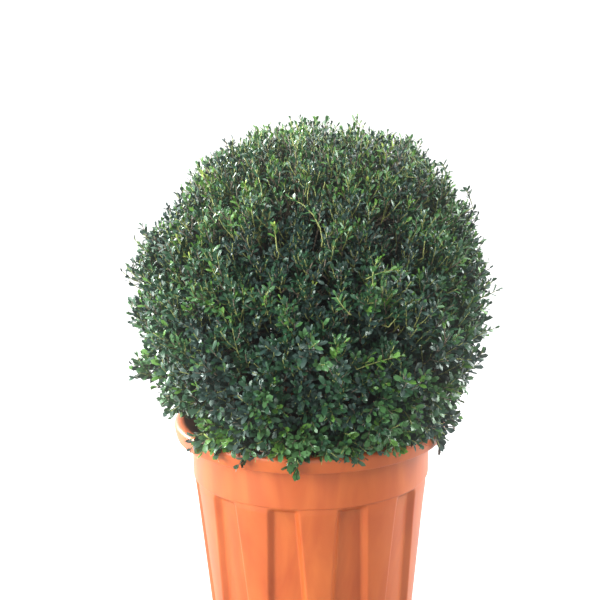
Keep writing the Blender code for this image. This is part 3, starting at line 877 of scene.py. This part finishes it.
class Copies:
    """Copies of one shape: where each lies, how it is turned, its size and its kind of finish."""

    def __init__(self, shape):
        self.shape = shape
        self.places = []
        self.kinds = []

    def add(self, root, along, normal, size, kind, width=1.0):
        across = along.cross(normal).normalized()
        facing = across.cross(along)
        self.places.append((*root, *(across * size * width), *(along * size), *(facing * size)))
        self.kinds.append(kind)

    def piece(self, name, materials):
        points, triangles = self.shape
        placed = np.array(self.places).reshape(-1, 4, 3)
        spread = placed[:, :1] + np.einsum("pi,cij->cpj", points, placed[:, 1:])
        numbered = triangles[None] + (np.arange(len(placed)) * len(points))[:, None, None]
        kinds = np.repeat(self.kinds, len(triangles))
        return joined_piece(name, spread.reshape(-1, 3), numbered.reshape(-1, 3), materials, kinds)


class Tubes:
    """Round twigs, each along its own points with a radius at every point."""

    def __init__(self, sides):
        self.sides = sides
        self.points = []
        self.triangles = []
        self.kinds = []

    def add(self, centres, first_radius, last_radius, kind):
        """Adds a tapering twig, closed by a point at its end."""
        first = len(self.points)
        across = (centres[-1] - centres[0]).orthogonal().normalized()
        last = len(centres) - 1
        radii = np.linspace(first_radius, last_radius, len(centres))
        for index, (centre, radius) in enumerate(zip(centres, radii)):
            along = (centres[min(last, index + 1)] - centres[max(0, index - 1)]).normalized()
            one = (across - along * across.dot(along)).normalized() * radius
            other = along.cross(one)
            for side in range(self.sides):
                angle = FULL_TURN * side / self.sides
                self.points.append(centre + one * math.cos(angle) + other * math.sin(angle))
        self.points.append(centres[-1] + along * radii[-1])
        for level in range(last + 1):
            for side in range(self.sides):
                a = first + level * self.sides + side
                b = first + level * self.sides + (side + 1) % self.sides
                if level == last:
                    self.triangles.append((a, b, len(self.points) - 1))
                else:
                    self.triangles += [(a, b, b + self.sides), (a, b + self.sides, a + self.sides)]
        self.kinds += [kind] * (len(self.triangles) - len(self.kinds))

    def piece(self, name, materials):
        return joined_piece(name, self.points, np.array(self.triangles), materials, self.kinds)


# Stem and boughs


def curve(start, knee, end, steps):
    """Points along a curve that leaves start towards the knee and reaches end from there."""
    shares = [step / steps for step in range(steps + 1)]
    return [start * (1 - t) ** 2 + knee * 2 * t * (1 - t) + end * t * t for t in shares]


def stem_centre(height):
    share = (height - SOIL_TOP) / (STEM_TOP - SOIL_TOP)
    sway = STEM_SWAY * math.sin(SWAY_RATE * share)
    return Vector((STEM_LEAN * share * share, sway, height))


def finish_limb(piece, bark, node):
    """Closes a limb and gives it its bark, with shallow swellings and a fine grain."""
    face_outwards()
    close_piece()
    subdivide(piece, 2)
    roughen(piece, BARK_RELIEF)
    piece.data.materials.append(bark)
    belongs(piece, node)


def stem(bark):
    """The short trunk: root flare, taper and a slight lean, drawn up ring by ring."""
    deselect()
    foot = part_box("stem")[0].z
    bpy.ops.mesh.primitive_circle_add(vertices=STEM_SIDES, radius=1.0, fill_type="NGON")
    piece = start_piece("stem_bark")
    radius = 1.0
    place = Vector((0, 0, 0))
    for level in range(STEM_LEVELS):
        share = level / (STEM_LEVELS - 1)
        flare = (STEM_FLARE - STEM_RADIUS) * math.exp(-share * FLARE_RATE)
        next_radius = STEM_RADIUS + (STEM_TIP_RADIUS - STEM_RADIUS) * share + flare
        next_place = stem_centre(foot + (STEM_TOP - foot) * share ** LEVEL_POWER)
        if level:
            extrude(next_place - place)
        else:
            move(next_place)
        scale(next_radius / radius, next_place)
        radius, place = next_radius, next_place
    finish_limb(piece, bark, "stem")


def hollow_height(point):
    """Height of the arch under the source's crown core over this place."""
    share = min(1.0, math.hypot(point.x - BALL_CENTRE.x, point.y) / CORE_FOOT_RADIUS)
    return CORE_FLOOR + HOLLOW_HEIGHT * (1 - share * share)


def bough_centres(index):
    """Points along a bough, from the stem to its tip in the crown."""
    chance = random.Random(SEED + index)
    angle = FULL_TURN * (index + BEARING_SCATTER * chance.random()) / BOUGHS + BOUGH_BEARING
    spread = chance.uniform(*BOUGH_SPREAD)
    start = stem_centre(SOIL_TOP + BOUGH_ROOT_HEIGHTS[index % 2])
    end = Vector((spread * math.cos(angle), spread * math.sin(angle), 0))
    end.z = hollow_height(end) + SEAT_DEPTH
    knee = start.lerp(end, KNEE_SHARE) - UP * KNEE_DROP
    return curve(start, knee, end, BOUGH_LEVELS - 1)


def bough(index, bark):
    """A limb drawn out along its curve in one upright plane, then turned to its own side."""
    deselect()
    centres = bough_centres(index)
    start = centres[0]
    run = centres[-1] - start
    flat = [start + Vector((math.hypot(c.x - start.x, c.y - start.y), 0, c.z - start.z))
            for c in centres]
    taper = (BOUGH_TIP_RADIUS / BOUGH_FOOT_RADIUS) ** (1 / (BOUGH_LEVELS - 1))
    bpy.ops.mesh.primitive_circle_add(vertices=BOUGH_SIDES, radius=BOUGH_FOOT_RADIUS,
                                      fill_type="NGON")
    piece = start_piece(f"bough_bark_{index + 1}")
    move(start)
    leaning = 0.0
    for level in range(BOUGH_LEVELS):
        step = flat[min(level + 1, BOUGH_LEVELS - 1)] - flat[max(level - 1, 0)]
        wanted = math.atan2(step.x, step.z)
        if level:
            extrude(flat[level] - flat[level - 1])
        turn(wanted - leaning, "Y", flat[level])
        leaning = wanted
        if level:
            scale(taper, flat[level], taper)
    bpy.ops.mesh.select_all(action="SELECT")
    turn(math.atan2(run.y, run.x), "Z", start)
    finish_limb(piece, bark, f"bough_{index + 1}")


# The crown's own space


def view_direction(degrees):
    """The direction at this angle round the ball's outline, as seen from the front."""
    angle = math.radians(degrees)
    rise = math.sin(angle)
    return Vector((math.cos(angle), rise * math.sin(VIEW_TILT), rise * math.cos(VIEW_TILT)))


def front_direction(right, up):
    """The direction to this place on the ball as seen from the front, in shares of its radius."""
    out = math.sqrt(1 - right * right - up * up)
    return Vector((right,
                   up * math.sin(VIEW_TILT) - out * math.cos(VIEW_TILT),
                   up * math.cos(VIEW_TILT) + out * math.sin(VIEW_TILT)))


def ripple_waves():
    """The waves that the shears left: which way each runs, how close and how far on."""
    chance = random.Random(SEED)
    waves = []
    for _ in range(RIPPLES):
        axis = scatter(chance, 1).normalized()
        waves.append((axis, chance.uniform(*RIPPLE_RATES), chance.uniform(0, FULL_TURN)))
    return waves


WAVES = ripple_waves()
SWELLING_DIRECTIONS = [(view_direction(degrees), share, math.radians(spread))
                       for degrees, share, spread in SWELLINGS + TUFTS]
POCKET_PLACES = [Matrix.Rotation(angle, 3, "Z") @ front_direction(*place)
                 for place in POCKETS for angle in POCKET_TURNS]


def reach(direction):
    """Radius of the clipped ball this way, with its swellings and the ripple of the shears."""
    size = 1.0
    for middle, share, spread in SWELLING_DIRECTIONS:
        apart = direction.angle(middle)
        size += share * math.exp(-((apart / spread) ** 2) / 2)
    for axis, rate, phase in WAVES:
        size += RIPPLE_SIZE / math.sqrt(RIPPLES) * math.sin(rate * axis.dot(direction) + phase)
    return BALL_RADIUS * size


def ball_share(point):
    """How far out the point lies, as a share of the ball's radius that way."""
    offset = point - BALL_CENTRE
    return offset.length / reach(offset.normalized())


def pocket(direction):
    """1 in the middle of a shade pocket, falling to 0 outside it."""
    apart = min(direction.angle(place) for place in POCKET_PLACES)
    return math.exp(-((apart / POCKET_SPREAD) ** 2) / 2)


def near_pot(point):
    """True where the point would touch the rim or the soil, or lie inside the pot's wall."""
    if point.z > POT_HEIGHT + RIM_CLEARANCE:
        return False
    radius = math.hypot(point.x, point.y)
    if radius > RIM_RADIUS + RIM_CLEARANCE:
        return False
    if radius > BAND_RADIUS - WALL - RIM_CLEARANCE:
        return True
    return point.z < SOIL_TOP + SOIL_CLEARANCE


def half_turned(degrees):
    """The same angle between -180 and 180 degrees."""
    return (degrees + 180) % 360 - 180


def sprig_drop(bearing):
    """How far a sprig hangs down here, or None away from the sprigs."""
    for middle, drop, _, _ in RIM_SPRIGS:
        if abs(half_turned(bearing - middle)) < SPRIG_SPREAD:
            return drop
    return None


def in_crown(point):
    """True inside the crown's own space: the ball, down to the rim, and the sprigs' own places."""
    if near_pot(point):
        return False
    radius = math.hypot(point.x, point.y)
    bearing = half_turned(math.degrees(math.atan2(point.y, point.x)) + 90)
    drop = sprig_drop(bearing)
    if drop is not None and point.z < POT_HEIGHT + SPRIG_TOP:
        return radius < OVERHANG_RADIUS and point.z > POT_HEIGHT - drop - SPRIG_LEAVES
    lowest = BARE_RIM_RISE if BARE_RIM[0] < bearing < BARE_RIM[1] else -OVERHANG_DROP
    if radius > BARE_RIM_RADIUS and point.z < POT_HEIGHT + lowest:
        return False
    return ball_share(point) <= TIP_REACH


def spiral_places(count, turn_by, chance, lowest=LOWEST_SHOOT):
    """Directions on a golden spiral over the ball, down to where it meets the pot."""
    places = []
    for index in range(count):
        height = 1 - (1 - lowest) * (index + 0.5) / count
        slack = chance.uniform(-SPIRAL_SCATTER, SPIRAL_SCATTER)
        angle = turn_by + index * GOLDEN_ANGLE + slack
        flat = math.sqrt(1 - height * height)
        places.append(Vector((flat * math.cos(angle), flat * math.sin(angle), height)))
    return places


# The crown's leaves


def leaf_shape(fold, droop):
    """One holly leaf, 1 long from its foot at the origin along +Y, its face up: blunt, widest
    past its middle, folded along the midrib by this much and its tip turned down by that much."""
    deselect()
    last = len(LEAF_ROWS) - 1
    bpy.ops.mesh.primitive_grid_add(x_subdivisions=2, y_subdivisions=last, size=1.0)
    piece = start_piece("leaf")
    move((0, 0.5, 0))
    for row, (station, width) in enumerate(LEAF_ROWS):
        select_points(lambda point: point.index // 3 == row)
        bpy.ops.transform.resize(value=(width, 1, 1), center_override=(0, 0, 0))
        height = LEAF_ARCH * math.sin(math.pi * station) - droop * station ** 3
        move((0, station - row / last, height))
    select_points(lambda point: point.index % 3 == 1 and 3 <= point.index < 3 * last)
    move((0, 0, -fold))
    for station in (0.0, 1.0):
        select_points(lambda point: abs(point.co.y - station) < 0.01)
        bpy.ops.mesh.merge(type="CENTER")
    close_piece()
    return take_shape(piece)


def pick_kind(chance, direction):
    """The age of a spray's leaves. The oldest are halfway up, the freshest ones on top. Low down the
    middle colour takes the place of old leaves, as painted light from below.
    """
    top = min(1.0, max(0.0, (direction.z - LOWEST_SHOOT) / (1 - LOWEST_SHOOT)))
    # painted light: low down, lighter middle leaves take the place of old ones
    low = max(0.0, -0.1 - direction.z)
    parts = {
        OLD_AND_SHADED: 44 - 32 * top - 24 * low,
        DARK: 38,
        MIDDLE: 18 + 20 * top + 60 * low,
        FRESH: 0.5 + 6 * top * top,
        YOUNG: 0.1 * top,
        BRONZED: 0.04,
    }
    return chance.choices(list(parts), list(parts.values()))[0]


def toward_light(outward):
    """The way that leaves face: outwards, and more to the sky on top than low down."""
    sideways, upwards = [halfway + change * outward.z
                         for halfway, change in (FACE_OUTWARDS, FACE_UPWARDS)]
    return (outward * sideways + UP * upwards).normalized()


def line_length(line):
    return sum((b - a).length for a, b in zip(line, line[1:]))


def point_on(line, share):
    """The point at this share of a line of points, and the line's heading there."""
    place = share * (len(line) - 1)
    step = min(len(line) - 2, int(place))
    heading = (line[step + 1] - line[step]).normalized()
    return line[step].lerp(line[step + 1], place - step), heading


def aside(along, angle):
    """The direction square to this one at this angle round it."""
    across = along.orthogonal().normalized()
    return across * math.cos(angle) + along.cross(across) * math.sin(angle)


def grow_leaf(crown, root, along, normal, size, kind, chance):
    """A leaf, if its blade stays inside the crown's space. Deep ones take the dark colour at any age,
    as painted shade.
    """
    # painted shade: middle and fresh leaves deep inside the ball take the dark colour
    if kind in (MIDDLE, FRESH) and ball_share(root) < DEEP_LEAF:
        kind = DARK
    tip = root + along * size
    across = along.cross(normal).normalized() * size * BLADE_HALF
    middle = root + along * size * BLADE_MIDDLE
    if not all(in_crown(point) for point in (tip, middle + across, middle - across)):
        return False
    form = chance.randrange(len(LEAF_FORMS))
    low = max(0.0, (BALL_CENTRE.z - root.z) / BALL_RADIUS)
    breadth = chance.uniform(*LEAF_BREADTH) * (1 + LOW_BREADTH * low)
    crown.leaves[form].append((root, along, normal, size, kind, breadth))
    return True


def grow_leaves(crown, line, bare, kind, chance, outward):
    """Leaves set by turns along a shoot, closing up and growing younger towards its tip."""
    count = max(FEWEST_LEAVES, int(line_length(line) * (1 - bare) / LEAF_SPACING) + 2)
    turned = chance.uniform(0, FULL_TURN)
    young_tip = chance.random() < YOUNG_TIPS
    light = toward_light(outward)
    growth = 1 - (TOP_LEAF_SHRINK if outward.z > 0 else LOW_LEAF_GROWTH) * outward.z
    for index in range(count):
        node, along = point_on(line, bare + (1 - bare) * index / (count - 1))
        turned += GOLDEN_ANGLE
        left = count - 1 - index
        at_tip = left < len(TIP_SIZES)
        size = chance.uniform(*LEAF_LENGTH) * (TIP_SIZES[left] if at_tip else 1.0) * growth
        leaf_kind = YOUNGER.get(kind, kind) if young_tip and left < YOUNG_LEAVES else kind
        for attempt in range(LEAF_TRIES):
            side = aside(along, turned + attempt * chance.uniform(-TRY_TURN, TRY_TURN))
            lean = math.radians(chance.uniform(*(TIP_LEAN if at_tip else LEAF_LEAN)))
            blade = along * math.cos(lean) + side * math.sin(lean)
            face = along * math.sin(lean) - side * math.cos(lean)
            face = face + light * LIGHT_PULL + scatter(chance, FACE_SCATTER)
            if grow_leaf(crown, node, blade.normalized(), face, size, leaf_kind, chance):
                break


# The crown's wood and shoots


class Crown:
    """What the crown is made of: its wood, its twigs and its leaves, each a list that grows."""

    def __init__(self):
        self.wood = Tubes(LIMB_SIDES)
        self.spurs = Tubes(TWIG_SIDES)
        self.twigs = Tubes(TWIG_SIDES)
        self.leaves = [[] for _ in LEAF_FORMS]
        self.clumps = make_clumps()
        self.limbs = []


def make_clumps():
    """The tufts' middles, how far each stands out, and the age of its leaves."""
    chance = random.Random(SEED + 3)
    clumps = []
    for direction in spiral_places(CLUMPS, CLUMP_TURN, chance):
        middle = (direction + scatter(chance, CLUMP_SCATTER)).normalized()
        rise = chance.uniform(-1, 1) * CLUMP_RISE
        clumps.append((middle, rise, pick_kind(chance, direction)))
    return clumps


def bow(start, end, rise, steps):
    """Points along a limb from start to end that rises this much over the straight way."""
    return curve(start, start.lerp(end, 0.5) + UP * rise, end, steps)


def grow_branches(crown, chance):
    """Branches on from the stem and the boughs, level by level, each from its nearest limb."""
    crown.limbs = [(bough_centres(index)[-1], BOUGH_TIP_RADIUS) for index in range(BOUGHS)]
    crown.limbs.append((stem_centre(STEM_TOP - SEAT_DEPTH), STEM_TIP_RADIUS))
    for share, turned, count, radius in BRANCH_LEVELS:
        tips = []
        for direction in spiral_places(count, turned, chance, LOWEST_BRANCH):
            out = BALL_RADIUS * share * chance.uniform(*BRANCH_SCATTER)
            tip = BALL_CENTRE + direction * out
            foot, foot_radius = min(crown.limbs, key=lambda limb: (limb[0] - tip).length)
            rise = (tip - foot).length * chance.uniform(*BRANCH_RISE)
            start_radius = min(foot_radius * BRANCH_TAPER, radius * BRANCH_FOOT)
            crown.wood.add(bow(foot, tip, rise, BRANCH_STEPS), start_radius, radius, BROWN)
            tips.append((tip, radius))
        crown.limbs = tips


def add_spur(crown, foot, radius):
    """A thin branch from the nearest limb to the foot of a shoot."""
    limb = min(crown.limbs, key=lambda limb: (limb[0] - foot).length_squared)[0]
    crown.spurs.add(bow(limb, foot, SPUR_RISE, SPUR_STEPS), SPUR_RADIUS, radius, BROWN)


def own_chance(chance):
    """A shoot's own run of chance, so that a change to one shoot leaves the others as they are."""
    return random.Random(chance.random())


def pick_bark(chance):
    return GREEN if chance.random() < GREEN_TWIGS else BROWN


def lift(direction):
    """Twigs turn up to the light, and hang where the crown meets the rim."""
    return UP * (LIFT if direction.z > HANG_BELOW else HANG)


def bend(direction, chance):
    """How far a shoot turns up as it grows: less where the crown hangs."""
    return UP * chance.uniform(*(BEND if direction.z > HANG_BEND_BELOW else HANG_BEND))


def shoot_line(foot, heading, length, pull, steps):
    """Points along a shoot that sets out along heading and is pulled this way as it grows."""
    line = [foot]
    for _ in range(steps):
        heading = (heading + pull / steps).normalized()
        line.append(line[-1] + heading * length / steps)
    return line


def grow_side_shoots(crown, line, count, kind, pull, chance, outward):
    """Side shoots set by turns along a shoot, shorter towards its tip, and their leaves."""
    turned = chance.uniform(0, FULL_TURN)
    length = line_length(line)
    for number in range(count):
        share = SIDE_PLACE + SIDE_SPAN * number / (count - 1)
        fork, along = point_on(line, share)
        for _ in range(LEAF_TRIES):
            turned += GOLDEN_ANGLE
            heading = (along + aside(along, turned) * chance.uniform(*SIDE_TURN)).normalized()
            own_length = SIDE_LEAST + length * (1 - share) * chance.uniform(*SIDE_LENGTH)
            own = shoot_line(fork, heading, own_length, pull + outward * SIDE_OUTWARD, SIDE_STEPS)
            if in_crown(own[-1]):
                own_kind = kind if chance.random() < KEEP_KIND else pick_kind(chance, outward)
                crown.twigs.add(own, TWIG_RADIUS, TWIG_TIP_RADIUS, pick_bark(chance))
                grow_leaves(crown, own, SIDE_BARE, own_kind, chance, outward)
                break


def grow_shoot(crown, direction, root_share, tip_shares, outer, chance):
    """A shoot from inside the shell, its side shoots, and all their leaves. Outer ones gather in
    tufts and stay low in the shade pockets, where their leaves take the old colour as painted shade;
    inner shoots always take it. It is grown twice, to get its length right."""
    limit = reach(direction)
    foot = BALL_CENTRE + direction * limit * root_share
    heading = (direction + scatter(chance, SHOOT_SPREAD) + lift(direction)).normalized()
    shade = pocket(direction) if outer else 1.0
    middle, rise, clump_kind = max(crown.clumps, key=lambda clump: clump[0].dot(direction))
    wanted = chance.triangular(*tip_shares)
    if outer:
        apart = min(CLUMP_EDGE, direction.angle(middle) / CLUMP_SPREAD)
        wanted += rise - CLUMP_DEPTH * apart * apart - POCKET_DEPTH * shade
        wanted = max(wanted, root_share + LEAST_SHOOT)
    length = limit * (wanted - root_share)
    pull = bend(direction, chance)
    line = shoot_line(foot, heading, length, pull, SHOOT_STEPS)
    got = ball_share(line[-1]) - root_share
    least, most = LENGTH_MEND
    length *= min(most, max(least, (wanted - root_share) / max(got, LEAST_RUN)))
    line = shoot_line(foot, heading, length, pull, SHOOT_STEPS)
    if near_pot(foot) or not in_crown(line[-1]):
        return
    add_spur(crown, foot, SHOOT_RADIUS)
    crown.twigs.add(line, SHOOT_RADIUS, TWIG_TIP_RADIUS, pick_bark(chance))
    kind = clump_kind if chance.random() < CLUMP_KIND else pick_kind(chance, direction)
    # painted shade: in the shade pockets, and on every inner shoot, leaves take the old colour
    if chance.random() < shade:
        kind = OLD_AND_SHADED
    grow_leaves(crown, line, SHOOT_BARE, kind, chance, direction)
    grow_side_shoots(crown, line, SIDE_SHOOTS, kind, pull, chance, direction)


def grow_stray(crown, start, end, turned, chance):
    """A long bare shoot over the crown's surface, with leaves towards its end."""
    ways = [Matrix.Rotation(turned, 3, "Z") @ front_direction(*place) for place in (start, end)]
    apart = (ways[1] - ways[0]).length
    curl = scatter(chance, STRAY_CURL * apart)
    inner = BALL_CENTRE + ways[0] * reach(ways[0]) * OUTER_ROOT
    line = [inner]
    for step in range(SHOOT_STEPS + 1):
        share = step / SHOOT_STEPS
        way = (ways[0].lerp(ways[1], share) + curl * share * (1 - share) * 4).normalized()
        out = STRAY_START + (STRAY_END - STRAY_START) * math.sin(share * math.pi / 2)
        line.append(BALL_CENTRE + way * reach(way) * out)
    add_spur(crown, inner, STRAY_RADIUS)
    crown.twigs.add(line, STRAY_RADIUS, TWIG_TIP_RADIUS, GREEN)
    grow_leaves(crown, line, STRAY_BARE, pick_kind(chance, UP), chance, ways[1])


def grow_rim_shoot(crown, angle, drop, kind, chance):
    """A shoot that comes out over the pot's rim at this angle and hangs down by this much."""
    side = Vector((math.cos(angle), math.sin(angle), 0))
    foot = side * RIM_FOOT_RADIUS + UP * chance.uniform(*RIM_FOOT_HEIGHTS)
    over = side * chance.uniform(*RIM_BEND_RADII) + UP * chance.uniform(*RIM_BEND_HEIGHTS)
    tip = side * chance.uniform(*RIM_TIP_RADII) + UP * (RIM_TIP_HEIGHT - drop)
    if not in_crown(tip):
        return
    (inner_place, inner_arch), (outer_place, outer_arch) = RIM_ARCHES
    line = [foot, foot.lerp(over, inner_place) + UP * inner_arch, over,
            over.lerp(tip, outer_place) + UP * outer_arch, tip]
    crown.twigs.add(line, SHOOT_RADIUS, TWIG_TIP_RADIUS, GREEN)
    outward = (side - UP * RIM_FACING).normalized()
    grow_leaves(crown, line, SHOOT_BARE, kind, chance, outward)
    grow_side_shoots(crown, line, RIM_SIDE_SHOOTS, kind, UP * RIM_PULL, chance, outward)


def grow_rim(crown, chance):
    """Short shoots all round the rim, and the longer sprigs that hang over it."""
    for number in range(RIM_SHOOTS):
        angle = FULL_TURN * (number + chance.uniform(-RIM_SCATTER, RIM_SCATTER)) / RIM_SHOOTS
        drop = RIM_DROP * chance.random()
        grow_rim_shoot(crown, angle, drop, pick_kind(chance, UP * 0), own_chance(chance))
    for degrees, drop, shoots, kind in RIM_SPRIGS:
        for _ in range(shoots):
            angle = math.radians(degrees - 90 + chance.gauss(0, SPRIG_SCATTER))
            own_drop = drop * chance.uniform(*SPRIG_DROPS)
            grow_rim_shoot(crown, angle, own_drop, kind, own_chance(chance))


def crown_pieces(crown, bark, twig_barks, leaf_finishes):
    """The crown's joined pieces, each kind apart; the leaves go in pieces of at most MOST_TRIANGLES
    triangles.
    """
    belongs(crown.wood.piece("crown_branches", [bark]), "crown")
    belongs(crown.spurs.piece("crown_spurs", [bark]), "crown")
    belongs(crown.twigs.piece("crown_twigs", twig_barks), "crown")
    pieces = 0
    for form, leaves in zip(LEAF_FORMS, crown.leaves):
        shape = leaf_shape(*form)
        most = MOST_TRIANGLES // len(shape[1])
        for start in range(0, len(leaves), most):
            copies = Copies(shape)
            for leaf in leaves[start:start + most]:
                copies.add(*leaf)
            pieces += 1
            belongs(copies.piece(f"crown_leaves_{pieces}", leaf_finishes), "crown")


def grow_crown(bark, twig_barks, leaf_finishes):
    """The whole crown: branches, layer on layer of shoots, strays, and what hangs over the rim."""
    chance = random.Random(SEED + 2)
    crown = Crown()
    grow_branches(crown, chance)
    for count, turned, root, tips in SHOOT_LAYERS:
        for direction in spiral_places(count, turned, chance):
            grow_shoot(crown, direction, root, tips, root == OUTER_ROOT, own_chance(chance))
    for start, end in STRAYS:
        for turned in POCKET_TURNS:
            grow_stray(crown, start, end, turned, own_chance(chance))
    grow_rim(crown, chance)
    crown_pieces(crown, bark, twig_barks, leaf_finishes)


# Floor, light and camera


def white_air():
    """A white room, brightest behind the plant and on its left, dim in front on its right."""
    world = bpy.data.worlds.new("white_studio")
    bpy.context.scene.world = world
    world.use_nodes = True
    tree = world.node_tree
    place = add_node(tree, "ShaderNodeTexCoord")
    toward = add_node(tree, "ShaderNodeVectorMath", [("Vector", place.outputs["Generated"])],
                      operation="DOT_PRODUCT")
    toward.inputs[1].default_value = BRIGHT_SIDE
    level = add_node(tree, "ShaderNodeMapRange", [("Value", toward.outputs["Value"])],
                     From_Min=-1.0, From_Max=1.0, To_Min=AIR_DIM, To_Max=AIR_BRIGHT)
    air = tree.nodes["Background"]
    air.inputs["Color"].default_value = (1.0, 1.0, 1.0, 1.0)
    tree.links.new(level.outputs["Result"], air.inputs["Strength"])


def white_floor():
    """A floor of matt paper that runs out of sight, and reads white by a painted glow from the plant
    backwards.
    """
    deselect()
    bpy.ops.mesh.primitive_circle_add(vertices=FLOOR_SIDES, radius=FLOOR_RADIUS, fill_type="NGON")
    floor = start_piece("floor")
    move((0, 0, -FLOOR_DROP))
    close_piece()
    paper, tree, shader = new_material("matt_paper_painted_glow", "#808080", 0.9,
                                       Emission_Color=(1.0, 1.0, 1.0, 1.0))
    place = add_node(tree, "ShaderNodeTexCoord")
    parts = add_node(tree, "ShaderNodeSeparateXYZ", [("Vector", place.outputs["Object"])])
    # painted glow: none in front of the plant, rising to full behind it
    near, far = GLOW_STRETCH
    glow = add_node(tree, "ShaderNodeMapRange", [("Value", parts.outputs["Y"])],
                    From_Min=near, From_Max=far, To_Min=0.0, To_Max=FLOOR_GLOW)
    tree.links.new(glow.outputs["Result"], shader.inputs["Emission Strength"])
    floor.data.materials.append(paper)


def place_lamps():
    """Soft square lamps that face the plant: one from the left, and fainter ones round it."""
    for name, place, size, power in LAMPS:
        lamp = bpy.data.lights.new(name, "AREA")
        lamp.shape = "SQUARE"
        lamp.size = size
        lamp.energy = power
        holder = bpy.data.objects.new(name, lamp)
        bpy.context.scene.collection.objects.link(holder)
        holder.location = place
        aim = Vector(LAMP_AIM) - Vector(place)
        holder.rotation_euler = aim.to_track_quat("-Z", "Y").to_euler()


def haze():
    """The white room's light scattered in the lens: a faint veil, strongest along the outline."""
    scene = bpy.context.scene
    scene.use_nodes = True
    tree = scene.node_tree
    tree.nodes.clear()
    picture = tree.nodes.new("CompositorNodeRLayers")
    veil = add_node(tree, "CompositorNodeGlare", [("Image", picture.outputs["Image"])],
                    glare_type="BLOOM", Threshold=HAZE_THRESHOLD, Strength=HAZE_STRENGTH,
                    Size=HAZE_SIZE)
    add_node(tree, "CompositorNodeComposite", [("Image", veil.outputs["Image"])])


def camera():
    """The photograph's own view, fitted to the pot: it looks down a little and leans a degree."""
    data = bpy.data.cameras.new("camera")
    data.lens = CAMERA_LENS
    data.sensor_width = SENSOR
    holder = bpy.data.objects.new("camera", data)
    bpy.context.scene.collection.objects.link(holder)
    turned = (Matrix.Rotation(CAMERA_YAW, 4, "Z")
              @ Matrix.Rotation(math.pi / 2 - CAMERA_PITCH, 4, "X")
              @ Matrix.Rotation(CAMERA_ROLL, 4, "Z"))
    holder.matrix_world = Matrix.Translation(CAMERA_PLACE) @ turned
    bpy.context.scene.camera = holder


def main():
    bpy.context.scene.view_settings.view_transform = "Standard"
    camera()
    white_air()
    white_floor()
    place_lamps()
    haze()
    pot(moulded_polypropylene())
    peat = potting_peat()
    soil(peat)
    soil_crumbs(peat, random.Random(SEED))
    bark = holly_bark("holly_bark", "#4A4036", "#8A7C69")
    young_bark = holly_bark("twig_bark_green", "#747C40", "#9CA262")
    stem(bark)
    for index in range(BOUGHS):
        bough(index, bark)
    leaf_finishes = [holly_leaf(*kind) for kind in LEAF_KINDS]
    grow_crown(bark, [bark, young_bark], leaf_finishes)


main()
